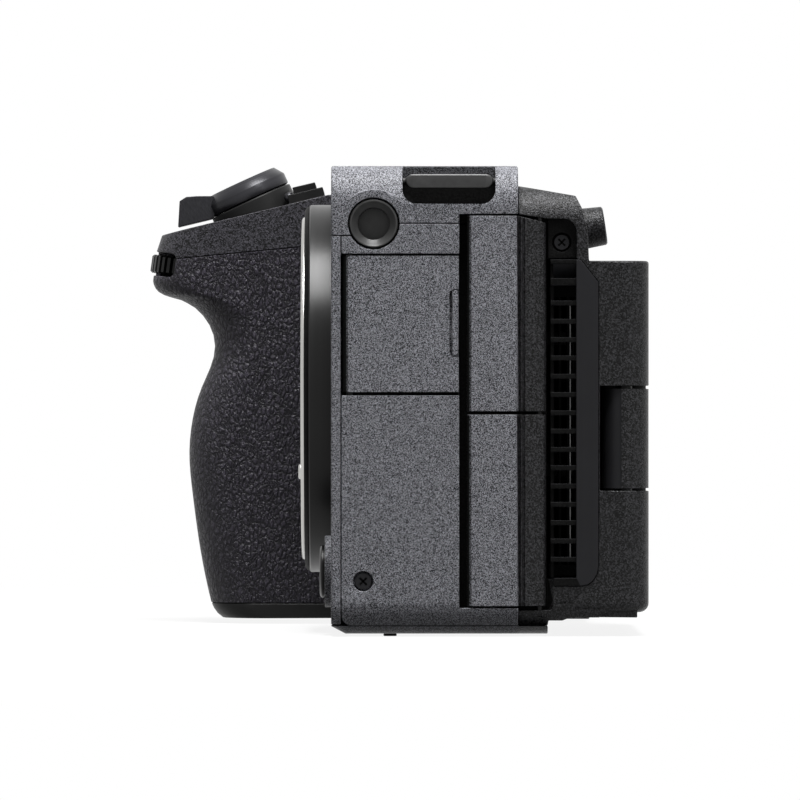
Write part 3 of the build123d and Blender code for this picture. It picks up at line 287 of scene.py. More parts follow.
# A smooth moulding or casting with the faint orange peel and uneven gloss of a real one
def moulding(name, look):
    finish = Finish(name, look["slot"], {"Metallic": look["metal"], "Specular IOR Level": look["sheen"]})
    cloud = finish.noise(look["cloud"], 4)
    grain = finish.noise(look["grain"], 3)
    finish.feed(
        colour=finish.blend(cloud, look["dark"], look["light"]),
        roughness=look["rough"] + look["patch"] * cloud,
        normal=finish.bump(grain, look["depth"]),
    )
    return finish


for name, look in mouldings.items():
    finishes[name] = moulding(name, look)

lensCentre = (0.0, -17.75, 40.65)
zoomCentre = (-61.0, -28.2, 75.4)
zoomTurn = math.radians(24.6)
zoomAxis = (0.0, -math.sin(zoomTurn), math.cos(zoomTurn))
turnedMetals = {
    "mountRing": {
        "slot": "dark_metal", "dark": shade(0.005), "light": shade(0.013), "metal": 0.14, "sheen": 0.22,
        "rough": 0.24, "mark": 0.16, "depth": 0.002, "centre": lensCentre, "axis": (0, 1, 0),
    },
    "flangeSteel": {
        "slot": "steel", "dark": shade(0.4, 0.395, 0.38), "light": shade(0.5, 0.495, 0.475), "metal": 1.0,
        "sheen": 0.5, "rough": 0.22, "mark": 0.3, "depth": 0.0012, "centre": lensCentre, "axis": (0, 1, 0),
    },
    "zoomMetal": {
        "slot": "dark_metal", "dark": shade(0.006, 0.006, 0.007), "light": shade(0.04, 0.04, 0.045),
        "metal": 0.4, "sheen": 0.2, "rough": 0.24, "mark": 0.14, "depth": 0.004, "centre": zoomCentre,
        "axis": zoomAxis,
    },
}
turnedShares = {"along": 0.15, "markGloss": 0.08, "smudgeGloss": 0.06, "smudge": 6.0}


# Turned metal: fine marks round an axis through a point
def turnedMetal(name, look):
    finish = Finish(name, look["slot"], {"Metallic": look["metal"], "Specular IOR Level": look["sheen"]})
    centre = Vector(look["centre"]) * mm
    apart = finish.node("VectorMath", {"operation": "SUBTRACT"}, {0: finish.place(), 1: centre})
    along = finish.node("VectorMath", {"operation": "DOT_PRODUCT"}, {0: apart, 1: look["axis"]}, "Value")
    span = finish.node("VectorMath", {"operation": "LENGTH"}, {0: apart}, "Value")
    across = (span * span - along * along) ** 0.5
    rings = finish.node("CombineXYZ", {}, {0: across, 1: along * turnedShares["along"]})
    marks = finish.noise(look["mark"], 3, rings)
    smudge = finish.noise(turnedShares["smudge"], 3)
    gloss = turnedShares["markGloss"] * marks + turnedShares["smudgeGloss"] * smudge
    finish.feed(
        colour=finish.blend(marks, look["dark"], look["light"]),
        roughness=look["rough"] + gloss,
        normal=finish.bump(marks, look["depth"]),
    )
    return finish


for name, look in turnedMetals.items():
    finishes[name] = turnedMetal(name, look)

gripLeather = {
    "slot": "rubber", "dark": shade(0.0006, 0.0005, 0.0008), "light": shade(0.052, 0.047, 0.062),
    "sheen": 0.2, "rough": 0.46, "drift": 2.6, "warp": 0.8, "stretch": (1.0, 1.35, 0.72),
    "turn": (0.3, 0, 0), "pebble": 0.98, "crease": 0.539, "pore": 0.16, "depth": 0.24,
    "swell": ((0.0, 0), (0.09, 0.22), (0.26, 0.85), (0.5, 1)), "fold": ((0.0, 0), (0.16, 1)),
    "even": 0.55, "creaseRise": 0.35, "poreRise": 0.22, "paintedCreaseShade": 0.7, "swellGloss": 0.14,
    "poreGloss": 0.08,
}


# Leather-grained rubber: pebbles parted by wrinkles that run up the grip, and fine pores. Its colour is
# painted darker down in the wrinkles, as painted shade, and drifts at random
def leather(name, look):
    finish = Finish(name, look["slot"], {"Specular IOR Level": look["sheen"]})
    drift = finish.noise(look["drift"])
    sway = finish.noise(look["drift"], output="Color")
    sway = finish.node("VectorMath", {"operation": "SCALE"}, {0: sway, "Scale": look["warp"] * mm})
    mapping = {"Vector": finish.place(), "Scale": look["stretch"], "Rotation": look["turn"]}
    stretched = finish.node("Mapping", {"vector_type": "POINT"}, mapping)
    place = finish.node("VectorMath", {"operation": "ADD"}, {0: stretched, 1: sway})
    pebble = finish.cells(look["pebble"], "DISTANCE_TO_EDGE", place=place)
    small = finish.cells(look["crease"], "DISTANCE_TO_EDGE", place=place)
    swell = finish.ramp(pebble, *look["swell"])
    crease = finish.ramp(small, *look["fold"])
    pores = finish.noise(look["pore"], 3)
    rise = swell * (look["even"] + (1 - look["even"]) * drift)
    height = rise + look["creaseRise"] * crease + look["poreRise"] * pores
    # Painted shade: the colour darkens towards the wrinkles between pebbles, mixed with a random drift in
    # tone
    share = swell * look["paintedCreaseShade"] + (1 - look["paintedCreaseShade"]) * drift
    finish.feed(
        colour=finish.blend(share, look["dark"], look["light"]),
        roughness=look["rough"] - look["swellGloss"] * swell + look["poreGloss"] * pores,
        normal=finish.bump(height, look["depth"]),
    )
    return finish


finishes["gripRubber"] = leather("gripRubber", gripLeather)

sensorLook = {
    "dark": shade(0.01, 0.03, 0.028), "light": shade(0.03, 0.018, 0.05), "tint": 30.0,
    "fixed": {"Roughness": 0.03, "Specular IOR Level": 0.8, "Coat Weight": 1.0, "Coat Roughness": 0.02},
}
screenLook = {
    "border": shade(0.003), "picture": shade(0.011, 0.012, 0.014), "margin": 3.4, "smear": 9.0,
    "rough": 0.05, "smearGloss": 0.06,
    "fixed": {"Specular IOR Level": 0.18, "Coat Weight": 0.1, "Coat Roughness": 0.03},
}


# Coated glass over the sensor
def sensorCoating(look):
    finish = Finish("sensorGlass", "glass", look["fixed"])
    tint = finish.noise(look["tint"], 1)
    finish.feed(colour=finish.blend(tint, look["dark"], look["light"]))
    return finish


# The screen: black glass with the slightly lighter picture area behind it
def screenCoating(look):
    finish = Finish("screenGlass", "glass", look["fixed"])
    low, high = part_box("screen_glass")
    margin = look["margin"] * mm
    across = finish.node("SeparateXYZ", {}, {0: finish.place()}, "X")
    height = finish.node("SeparateXYZ", {}, {0: finish.place()}, "Z")
    inside = (across > low.x + margin) * (across < high.x - margin)
    inside = inside * (height > low.z + margin) * (height < high.z - margin)
    finish.feed(
        colour=finish.blend(inside, look["border"], look["picture"]),
        roughness=look["rough"] + look["smearGloss"] * finish.noise(look["smear"], 4),
    )
    return finish


finishes["sensorGlass"] = sensorCoating(sensorLook)
finishes["screenGlass"] = screenCoating(screenLook)
print("finishes made:", len(finishes))

# Angles in degrees past which an edge is sharp, and the limits of a drawn-in or bevelled skin
skinLimits = {"sharp": 32, "sharpBroken": 48, "faceWeight": 80, "shell": 2.0, "stray": 0.6, "merge": 2e-6}


# A bmesh as a finished piece on its body; broken edges are smooth, so only steeper ones stay sharp
def toPiece(bm, name, body, coats, edge=0.0, stands=()):
    if edge:
        breakEdges(bm, edge * mm)
    mesh = bpy.data.meshes.new(name)
    bm.to_mesh(mesh)
    bm.free()
    if "custom_normal" in mesh.attributes:
        mesh.attributes.remove(mesh.attributes["custom_normal"])
    piece = bpy.data.objects.new(name, mesh)
    scene.collection.objects.link(piece)
    for coat in coats:
        mesh.materials.append(finishes[coat].material)
    mesh.shade_smooth()
    mesh.set_sharp_from_angle(angle=math.radians(skinLimits["sharpBroken" if edge else "sharp"]))
    if edge:
        flat = piece.modifiers.new("flatFaces", "WEIGHTED_NORMAL")
        flat.keep_sharp = True
        flat.weight = skinLimits["faceWeight"]
    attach(piece, body)
    if stands:
        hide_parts(*stands)


# Rounds the sharp edges over; a corner that lands off the old skin is put back on it
def breakEdges(bm, width):
    skin = BVHTree.FromBMesh(bm)
    limit = math.radians(skinLimits["sharp"])
    sharp = [edge for edge in bm.edges if len(edge.link_faces) == 2 and edge.calc_face_angle(0) > limit]
    bmesh.ops.bevel(
        bm, geom=sharp, offset=width, offset_type="OFFSET", segments=2, profile=0.5, affect="EDGES",
        clamp_overlap=False, material=-1,
    )
    for vert in bm.verts:
        spot, out, index, away = skin.find_nearest(vert.co)
        if away > skinLimits["stray"] * width:
            vert.co = spot


# A copy of a CAD node's mesh, its doubles merged and its skin drawn in by a gap
def copyOf(node, gap=0.0):
    bm = bmesh.new()
    bm.from_mesh(frame["nodes"][node].data)
    bmesh.ops.remove_doubles(bm, verts=bm.verts, dist=skinLimits["merge"])
    bm.normal_update()
    reach = [gap * mm * min(vert.calc_shell_factor(), skinLimits["shell"]) for vert in bm.verts]
    for vert, step in zip(bm.verts, reach):
        vert.co -= vert.normal * step
    for face in bm.faces:
        face.material_index = 0
    return bm


# The piece's name for a node: grip_rubber gives gripRubberShell
def camel(node):
    first, *rest = node.split("_")
    return first + "".join(word.capitalize() for word in rest) + "Shell"


# The nodes that keep their CAD shape, with the finish and, in millimetres, how far their edges are broken
# and the gap to a neighbour
dressed = {
    "front_casing": ("bodyPaint", 0.14, 0.06),
    "rear_panel": ("darkCasing", 0.14, 0.05),
    "grip_base": ("smoothBlack", 0.2, 0.05),
    "grip_core": ("smoothBlack", 0.0, 0.1),
    "mount_ring": ("mountRing", 0.0, 0.0),
    "lens_flange": ("flangeSteel", 0.0, 0.0),
    "lock_pin": ("flangeSteel", 0.0, 0.0),
    "strap_bars": ("insertMetal", 0.3, 0.0),
    "card_door": ("gripPlastic", 0.14, 0.02),
    "battery_door": ("smoothBlack", 0.12, 0.02),
    "battery_latch": ("gripPlastic", 0.06, 0.0),
    "panel_back": ("smoothBlack", 0.2, 0.0),
    "panel_front": ("smoothBlack", 0.16, 0.03),
    "accessory_shoe": ("finMetal", 0.08, 0.0),
    "rubber_feet": ("plainRubber", 0.1, 0.0),
    "record_button": ("zoomMetal", 0.16, 0.0),
    "zoom_lever": ("zoomMetal", 0.12, 0.0),
    "power_switch": ("blackMetal", 0.15, 0.0),
    "wheel_button": ("smoothBlack", 0.2, 0.0),
    "top_button_left": ("blackMetal", 0.14, 0.0),
    "top_button_right": ("blackMetal", 0.14, 0.0),
    "menu_button": ("smoothBlack", 0.0, 0.0),
    "function_button": ("smoothBlack", 0.0, 0.0),
    "play_button": ("smoothBlack", 0.0, 0.0),
    "delete_button": ("smoothBlack", 0.0, 0.0),
    "tally_lamps": ("lamp", 0.08, 0.0),
    "grip_rubber": ("gripRubber", 0.14, 0.04),
}
for node, (coat, edge, gap) in dressed.items():
    toPiece(copyOf(node, gap), camel(node), bodyOf[node], [coat], edge, [node])
print("shells dressed:", len(dressed))


# Each face gets the coat that a test picks by its middle in millimetres and its normal; a cut parts the
# faces along a plane first, where one coat ends on it
def painted(node, gap, edge, coats, test, cut=None):
    bm = copyOf(node, gap)
    if cut:
        geom = bm.verts[:] + bm.edges[:] + bm.faces[:]
        bmesh.ops.bisect_plane(bm, geom=geom, plane_co=Vector(cut[0]) * mm, plane_no=cut[1])
    for face in bm.faces:
        face.material_index = int(test(face.calc_center_median() / mm, face.normal))
    toPiece(bm, camel(node), bodyOf[node], coats, edge, [node])


sideLook = {
    "pocketX": 43.0, "facingDown": -0.9, "grooveY": 8.0, "grooveTop": 69.5,
    "recessX": (39, 44.6), "recessY": (-0.8, 14.7), "recessLow": 70.9, "litFrom": 74.8, "endWall": 0.6,
    "stripY": 18.2, "hingeY": 12.0, "hingeX": 43.4, "roundedEdge": -0.1, "hingeEdge": -0.5,
}
# In these lists the near-black and the darker paint are painted shade; the dark casing is the doors' own
# dark strip
sideCoats = ["bodyPaint", "recess", "paintedShadeCoat"]
doorCoats = ["bodyPaint", "darkCasing", "recess", "paintedShadeCoat"]


# Painted shade: the groove over the doors is painted near-black, and so are the strap bar's recess below
# where the light reaches and its end walls; the recess above that gets the darker paint
def coverCoat(at, out):
    look = sideLook
    sunk = at.x < look["pocketX"] or out.z < look["facingDown"]
    if sunk and at.y > look["grooveY"] and at.z < look["grooveTop"]:
        return 1
    (lowX, highX), (lowY, highY) = look["recessX"], look["recessY"]
    if lowX < at.x < highX and lowY < at.y < highY and at.z > look["recessLow"]:
        return 1 if at.z < look["litFrom"] or abs(out.y) > look["endWall"] else 2
    return 0


# A dark strip ends each connector door. Where the hinge edges turn away into the groove they get painted
# shade: near-black where they face furthest away, the darker paint before that
def doorCoat(at, out):
    look = sideLook
    if at.y > look["stripY"]:
        return 1
    if out.y < look["roundedEdge"] and at.y < look["hingeY"] and at.x > look["hingeX"]:
        return 2 if out.y < look["hingeEdge"] else 3
    return 0


painted("top_cover", 0.06, 0.14, sideCoats, coverCoat, ((0, 0, sideLook["litFrom"]), (0, 0, 1)))
painted("mic_door", 0.02, 0.0, doorCoats, doorCoat)
painted("upper_door", 0.02, 0.12, doorCoats, doorCoat)
painted("lower_door", 0.02, 0.12, doorCoats, doorCoat)
# Painted shade: the floors and walls of the door pockets are near-black
painted("side_cover", 0.06, 0.12, sideCoats[:2], lambda at, out: at.x < sideLook["pocketX"])

rearLook = {
    "ventX": 42.6, "ventY": (4, 31.8), "ventZ": (5, 69), "barY": 28.1, "flat": 0.4, "frontScrewY": -17,
    "bandY": 18.4,
}


# Painted shade: the casing behind the vent's bars is painted near-black
def rearCoat(at, out):
    (lowY, highY), (lowZ, highZ) = rearLook["ventY"], rearLook["ventZ"]
    return at.x < rearLook["ventX"] and lowY < at.y < highY and lowZ < at.z < highZ


# Painted shade: the bars' backs and ends are painted near-black, and their ledges have the plate's colour
def ventCoat(at, out):
    return at.y < rearLook["barY"] and abs(out.z) < rearLook["flat"]


# The base is painted as far as the sides are, and has the rear casing's coat from there
def baseCoat(at, out):
    return at.y > rearLook["bandY"]


painted("rear_casing", 0.05, 0.14, ["darkCasing", "recess"], rearCoat)
painted("vent_frame", 0.0, 0.08, ["ventPlate", "recess"], ventCoat)
painted("screws", 0.0, 0.0, ["ventPlate", "blackMetal"], lambda at, out: at.y < rearLook["frontScrewY"])
baseCut = ((0, rearLook["bandY"], 0), (0, 1, 0))
painted("bottom_plate", 0.05, 0.12, ["bodyPaint", "darkCasing"], baseCoat, baseCut)

gripDeck = {"top": 74.6, "bend": -13.7, "slope": 0.2397, "raised": 0.08, "raisedY": -13.8}


# What stands on the grip's sloping top is smooth: the collars of the buttons and the foot of the zoom ring
def deckCoat(at, out):
    height = gripDeck["top"] + min(at.y - gripDeck["bend"], 0.0) * gripDeck["slope"]
    return at.y < gripDeck["raisedY"] and at.z > height + gripDeck["raised"]


painted("grip_top", 0.04, 0.14, ["gripPlastic", "blackMetal"], deckCoat)

# Inner pieces keep their CAD meshes and get a finish
kept = {
    "battery": "smoothBlack", "card_reader": "aluminium", "fan_housing": "smoothBlack",
    # The heat sink behind the vent takes the near-black of painted shade
    "fan_impeller": "ventPlate", "heat_sink": "recess", "hinge_pins": "blackMetal",
    "joystick_gimbal": "insertMetal", "joystick_stem": "smoothBlack", "lens_contacts": "smoothBlack",
    "main_board": "board", "port_sockets": "aluminium", "sensor_carrier": "smoothBlack",
    "sensor_frame": "smoothBlack", "sensor_glass": "sensorGlass", "sensor_stage": "aluminium",
    "screen_glass": "screenGlass",
}
for node, coat in kept.items():
    for slot in frame["nodes"][node].material_slots:
        slot.material = finishes[coat].material
print("inner pieces finished:", len(kept))


# A frame whose Z is a given direction, at a place in millimetres
def standing(place, up):
    turn = Vector(up).to_track_quat("Z", "Y").to_matrix().to_4x4()
    return Matrix.Translation(Vector(place) * mm) @ turn


# A profile of (radius, height) turned once round Z, then put in its place
def spinInto(bm, profile, where, steps=72):
    made = [bm.verts.new((radius * mm, 0, height * mm)) for radius, height in profile]
    edges = [bm.edges.new(pair) for pair in zip(made, made[1:])]
    before = set(bm.verts) - set(made)
    bmesh.ops.spin(
        bm, geom=made + edges, cent=(0, 0, 0), axis=(0, 0, 1), angle=math.tau, steps=steps, use_merge=True,
    )
    new = [vert for vert in bm.verts if vert not in before]
    bmesh.ops.remove_doubles(bm, verts=new, dist=1e-6)
    new = [vert for vert in bm.verts if vert not in before]
    faces = [face for face in bm.faces if face.verts[0] not in before]
    bmesh.ops.recalc_face_normals(bm, faces=faces)
    bmesh.ops.transform(bm, matrix=where, verts=new)


# A piece that is one turned profile
def spunPiece(name, body, coat, profile, where, steps=72, stands=()):
    bm = bmesh.new()
    spinInto(bm, profile, where, steps)
    toPiece(bm, name, body, [coat], stands=stands)


# A box between two corners, in millimetres
def boxInto(bm, low, high, where=Matrix.Identity(4)):
    middle = (Vector(low) + Vector(high)) / 2 * mm
    size = (Vector(high) - Vector(low)) * mm
    place = Matrix.Translation(middle) @ Matrix.Diagonal((size.x, size.y, size.z, 1))
    bmesh.ops.create_cube(bm, size=1.0, matrix=where @ place)


def boxPiece(name, body, coat, boxes, edge=0.0):
    bm = bmesh.new()
    for low, high in boxes:
        boxInto(bm, low, high)
    toPiece(bm, name, body, [coat], edge)


# A short round stud standing on a place
def studInto(bm, where, look):
    radius, tall = look["radius"] * mm, look["tall"] * mm
    bmesh.ops.create_cone(
        bm, cap_ends=True, segments=look["segments"], radius1=radius, radius2=radius * look["taper"],
        depth=tall, matrix=where @ Matrix.Translation((0, 0, tall / 2)),
    )


def studPiece(name, coat, places, up, look):
    bm = bmesh.new()
    for place in places:
        studInto(bm, standing(place, up), look)
    toPiece(bm, name, "camera", [coat])


# Extrudes a face and gives back its new end, to be moved next; a face that stood alone stays as the foot
def pullFace(bm, face):
    alone = len(face.edges[0].link_faces) == 1
    made = bmesh.ops.extrude_face_region(bm, geom=[face])["geom"]
    if not alone:
        bmesh.ops.delete(bm, geom=[face], context="FACES_ONLY")
    return next(part for part in made if isinstance(part, bmesh.types.BMFace))


dialLook = {
    "ribs": 44, "radius": 10.0, "deep": 0.55, "thick": 3.2, "inset": 0.35, "chamfer": 0.3,
    "ribShape": ((0.0, 0.0), (0.12, 1.0), (0.38, 1.0), (0.5, 0.0)),
    "face": ((9.0, 0.0), (8.9, 0.08), (2.2, 0.08), (2.0, -0.05), (0.0, -0.05)),
}
frontTilt = math.radians(8)
dials = {
    "frontDial": ("front_dial", (-62.0, -34.997, 61.36), (0, math.sin(frontTilt), math.cos(frontTilt))),
    "rearDial": ("rear_dial", (-70.0, 22.0, 69.2), (0, 0, 1)),
}


# A dial with square ribs round its rim, a chamfer at both ends and a turned dish in its face
def ribbedDial(name, node, place, up, look):
    outline = []
    for rib in range(look["ribs"]):
        for share, deep in look["ribShape"]:
            outline.append((look["radius"] - deep * look["deep"], math.tau * (rib + share) / look["ribs"]))
    half, inset, chamfer = look["thick"] / 2, look["inset"], look["chamfer"]
    bm = bmesh.new()
    corners = [((radius - inset) * mm, angle) for radius, angle in outline]
    start = [(reach * math.cos(angle), reach * math.sin(angle), -half * mm) for reach, angle in corners]
    face = bm.faces.new([bm.verts.new(at) for at in start])
    for spread, rise in ((inset, chamfer), (0.0, look["thick"] - 2 * chamfer), (-inset, chamfer)):
        face = pullFace(bm, face)
        for vert in face.verts:
            outwards = Vector((vert.co.x, vert.co.y, 0)).normalized()
            vert.co += (outwards * spread + Vector((0, 0, rise))) * mm
    bmesh.ops.recalc_face_normals(bm, faces=bm.faces)
    where = standing(place, up)
    bmesh.ops.transform(bm, matrix=where, verts=bm.verts)
    spinInto(bm, [(radius, half + rise) for radius, rise in look["face"]], where)
    toPiece(bm, name, bodyOf[node], ["blackMetal"], stands=[node])


for name, (node, place, up) in dials.items():
    ribbedDial(name, node, place, up, dialLook)

wheelLook = {
    "place": (-63.0, 31.9, 27.0), "ribs": 64, "ribReach": 10.6, "ribRise": 0.35,
    "ribSize": (0.5, 0.34, 1.5),
    "profile": (
        (10.7, -1.55), (10.7, 1.2), (10.45, 1.5), (9.5, 1.5), (9.2, 1.2), (5.5, 0.95), (5.25, 0.7),
        (5.25, -1.55), (10.7, -1.55),
    ),
}


# The control wheel: a low ring with fine ribs and a dished face
def controlWheel(look):
    where = standing(look["place"], (0, 1, 0))
    bm = bmesh.new()
    spinInto(bm, look["profile"], where, 96)
    size = Matrix.Diagonal([*(Vector(look["ribSize"]) * mm), 1])
    shift = Matrix.Translation((look["ribReach"] * mm, 0, look["ribRise"] * mm))
    for rib in range(look["ribs"]):
        turn = Matrix.Rotation(math.tau * rib / look["ribs"], 4, "Z")
        bmesh.ops.create_cube(bm, size=1.0, matrix=where @ turn @ shift @ size)
    toPiece(bm, "controlWheelRing", "control_wheel", ["blackMetal"], stands=["control_wheel"])


controlWheel(wheelLook)

# Each place has a direction and the depth of the dish at the thread's mouth
insertLook = {
    "bore": 2.62, "root": 2.95, "pitch": 1.27, "crest": 0.16, "rootShares": (0.48, 0.6), "deep": 6.1,
    "lip": ((4.02, -6.1), (4.02, -0.28), (3.88, -0.12), (3.72, -0.1), (3.56, -0.24)),
    "mouth": ((0.22, 0.0), (0.1, 0.06)), "runIn": 0.2, "floor": -6.0,
    "places": (
        ((0, 0, 0), (0, 0, -1), 0.25),
        ((45.0, -5.51, 67.8), (1, 0, 0), 1.2),
        ((-84.7, -7.0, 68.6), (-1, 0, 0), 1.2),
        ((31.0, 6.0, 77.5), (0, 0, 1), 1.2),
        ((-31.0, 6.0, 77.5), (0, 0, 1), 1.2),
        ((-31.0, -6.5, 77.5), (0, 0, 1), 1.2),
    ),
}


# Thread inserts: a lip, a dish and a bore with the turns of a quarter-inch thread
def threadInserts(look):
    bore, pitch = look["bore"], look["pitch"]
    bm = bmesh.new()
    for place, up, dish in look["places"]:
        profile = [*look["lip"]]
        profile += [(bore + wider, -dish - deeper) for wider, deeper in look["mouth"]]
        height = -dish - look["runIn"]
        while height > pitch - look["deep"]:
            profile += [(bore, height), (bore, height - look["crest"])]
            profile += [(look["root"], height - pitch * share) for share in look["rootShares"]]
            height -= pitch
        profile += [(bore, height), (bore, look["floor"]), (0.0, look["floor"])]
        spinInto(bm, profile, standing(place, up), 64)
    toPiece(bm, "threadInserts", "camera", ["insertMetal"], stands=["thread_inserts"])


threadInserts(insertLook)

stickLook = {
    "tilt": math.radians(8.5), "end": (-51.0, 34.7, 69.2),
    "studs": 12, "studReach": 2.3, "studSink": 0.29,
    "stud": {"radius": 0.26, "tall": 0.26, "segments": 8, "taper": 0.12 / 0.26},
    "profile": (
        (1.2, -4.4), (3.05, -4.2), (3.5, -4.05), (3.55, -3.8), (3.36, -0.3), (3.1, -0.06), (2.7, -0.02),
        (1.9, -0.32), (0.0, -0.42),
    ),
}


# The joystick's cap: slightly tapered, with a ring of studs in its dished end
def joystickCap(look):
    where = standing(look["end"], (0, math.cos(look["tilt"]), math.sin(look["tilt"])))
    bm = bmesh.new()
    spinInto(bm, look["profile"], where)
    shift = Matrix.Translation((look["studReach"] * mm, 0, -look["studSink"] * mm))
    for index in range(look["studs"]):
        turn = Matrix.Rotation(math.tau * index / look["studs"], 4, "Z")
        studInto(bm, where @ turn @ shift, look["stud"])
    toPiece(bm, "joystickCap", "joystick", ["darkCasing"], stands=["joystick"])


joystickCap(stickLook)

hingeLook = {
    "axis": (39.15, 36.0), "armReach": 3.5, "reach": 3.9, "armFrom": 37.6, "outer": 3.98, "inner": 3.3,
    "arc": (-8.5, 150), "steps": 40, "low": 24.14, "high": 40.53,
}


# The screen's hinge: the arm from the solids, its knuckle drawn in beside a lighter half
def hingeKnuckle(look):
    axis = Vector(look["axis"])
    bm = copyOf("hinge_arm")
    for vert in bm.verts:
        away = vert.co.to_2d() / mm - axis
        if away.length > look["reach"] and vert.co.x / mm > look["armFrom"]:
            at = axis + away.normalized() * look["armReach"]
            vert.co.x = at.x * mm
            vert.co.y = at.y * mm
    toPiece(bm, "hingeArmShell", "screen", ["ventPlate"], stands=["hinge_arm"])
    first, last = look["arc"]
    shares = [step / look["steps"] for step in range(look["steps"] + 1)]
    turns = [math.radians(first + (last - first) * share) for share in shares]
    arcs = [(look["outer"], turn) for turn in turns] + [(look["inner"], turn) for turn in reversed(turns)]
    outline = [axis + Vector((math.cos(turn), math.sin(turn))) * radius for radius, turn in arcs]
    bm = bmesh.new()
    face = bm.faces.new([bm.verts.new((at.x * mm, at.y * mm, look["low"] * mm)) for at in outline])
    top = pullFace(bm, face)
    bmesh.ops.translate(bm, vec=(0, 0, (look["high"] - look["low"]) * mm), verts=top.verts)
    bmesh.ops.recalc_face_normals(bm, faces=bm.faces)
    toPiece(bm, "hingeKnuckleShell", "screen", ["darkCasing"])


hingeKnuckle(hingeLook)

buttonLook = {
    "place": (31.0, -14.36, 10.2), "grooves": 3, "firstGroove": -0.5, "pitch": 0.6,
    "face": ((0.0, 0.1), (3.6, 0.14), (4.1, 0.02), (4.36, -0.2)),
    "groove": ((4.36, 0.0), (4.16, -0.1), (4.16, -0.26), (4.36, -0.36)),
    "foot": ((4.36, -2.8), (0.0, -2.8)),
}


# The release button, turned with grooves round its side
def releaseButton(look):
    profile = [*look["face"]]
    for groove in range(look["grooves"]):
        start = look["firstGroove"] - groove * look["pitch"]
        profile += [(radius, start + height) for radius, height in look["groove"]]
    profile += look["foot"]
    where = standing(look["place"], (0, -1, 0))
    spunPiece("releaseButton", "release_button", "blackMetal", profile, where, 64, ["release_button"])


releaseButton(buttonLook)

zoomLook = {
    "band": (
        (6.7, -1.8), (7.0, -1.8), (7.3, -1.62), (7.36, -1.5), (7.36, 0.12), (7.26, 0.28), (6.2, 1.72),
        (6.05, 1.78), (5.6, 1.78), (5.6, 1.6),
    ),
    "foot": ((5.0, -1.92), (7.3, -1.92), (7.46, -2.1), (7.46, -9.2)),
    "stopAt": (-55.0, -20.57, 74.18), "stopRadius": 0.95,
}


# The zoom ring's turned band, its foot on the grip, and a stop beside it
def zoomRing(look):
    where = standing(zoomCentre, zoomAxis)
    spunPiece("zoomBand", bodyOf["zoom_lever"], "zoomMetal", look["band"], where, 96)
    spunPiece("zoomFoot", "camera", "smoothBlack", look["foot"], where, 96)
    bm = bmesh.new()
    at = Matrix.Translation(Vector(look["stopAt"]) * mm)
    bmesh.ops.create_icosphere(bm, subdivisions=3, radius=look["stopRadius"] * mm, matrix=at)
    toPiece(bm, "zoomStop", "camera", ["zoomMetal"])


zoomRing(zoomLook)

# The black seat that the flange's rim stands in
mountFront = -16.66
seatProfile = ((28.9, -0.1), (28.9, 0.5), (29.1, 0.55), (30.2, 0.55), (30.6, 0.3), (30.9, -0.1))
seatAt = standing((0.0, mountFront, lensCentre[2]), (0, -1, 0))
spunPiece("flangeSeat", "camera", "recess", seatProfile, seatAt, 128)
print("turned pieces made")

# The tab that the microphone door is pulled by
tabBox = ((43.95, 7.4, 45.95), (44.97, 8.46, 56.85))
boxPiece("micDoorTab", bodyOf["mic_door"], "bodyPaint", [tabBox], 0.22)

# The lens contacts' pins stand in one row
pinLook = {
    "radius": 0.42, "tall": 0.35, "segments": 12, "taper": 0.85, "count": 10, "pitch": 1.8,
    "middle": (0.0, -14.4, 18.6),
}
middleX, middleY, middleZ = pinLook["middle"]
steps = [index - (pinLook["count"] - 1) / 2 for index in range(pinLook["count"])]
pinPlaces = [(middleX + step * pinLook["pitch"], middleY, middleZ) for step in steps]
studPiece("contactPins", "gold", pinPlaces, (0, -1, 0), pinLook)

# The dot that a lens is set against
indexLook = {"radius": 0.75, "tall": 0.12, "segments": 24, "taper": 0.85, "aboveCentre": 30.1}
indexPlace = (lensCentre[0], mountFront, lensCentre[2] + indexLook["aboveCentre"])
studPiece("mountIndex", "whiteMark", [indexPlace], (0, -1, 0), indexLook)

# The microphones' holes: a grid on each side of the top, each a near-black disc of painted shade
holeLook = {
    "radius": 0.22, "tall": 0.06, "segments": 8, "taper": 1.0, "rows": 4, "columns": 5, "pitch": 0.9,
    "sideX": 21, "frontY": -9.2, "topZ": 77.42,
}
holePlaces = []
for side in (-1, 1):
    for row in range(holeLook["rows"]):
        for column in range(holeLook["columns"]):
            across = (column - (holeLook["columns"] - 1) / 2) * holeLook["pitch"]
            along = holeLook["frontY"] + row * holeLook["pitch"]
            holePlaces.append((side * holeLook["sideX"] + across, along, holeLook["topZ"]))
studPiece("microphoneHoles", "recess", holePlaces, (0, 0, 1), holeLook)

# The shoe's leaf springs, its contacts, and the one fin that catches light behind the vent
springBoxes = []
for side in (-1, 1):
    springBoxes.append(((side * 6.5, 0.5, 76.35), (side * 9.0, 13.5, 76.55)))
    springBoxes.append(((side * 7.0, 5.0, 76.1), (side * 8.6, 9.0, 76.4)))
boxPiece("shoeSprings", "camera", "finMetal", springBoxes, 0.05)
contactLook = {"count": 5, "pitch": 1.7, "low": (-3.6, -3.0, 74.5), "size": (0.7, 2.2, 0.12)}
contactBoxes = []
for index in range(contactLook["count"]):
    corner = Vector(contactLook["low"]) + Vector((index * contactLook["pitch"], 0, 0))
    contactBoxes.append((corner, corner + Vector(contactLook["size"])))
boxPiece("shoeContacts", "camera", "gold", contactBoxes, 0.03)
finBox = ((37.8, 26.95, 12.0), (37.92, 27.12, 55.0))
boxPiece("finEdge", "camera", "finMetal", [finBox])

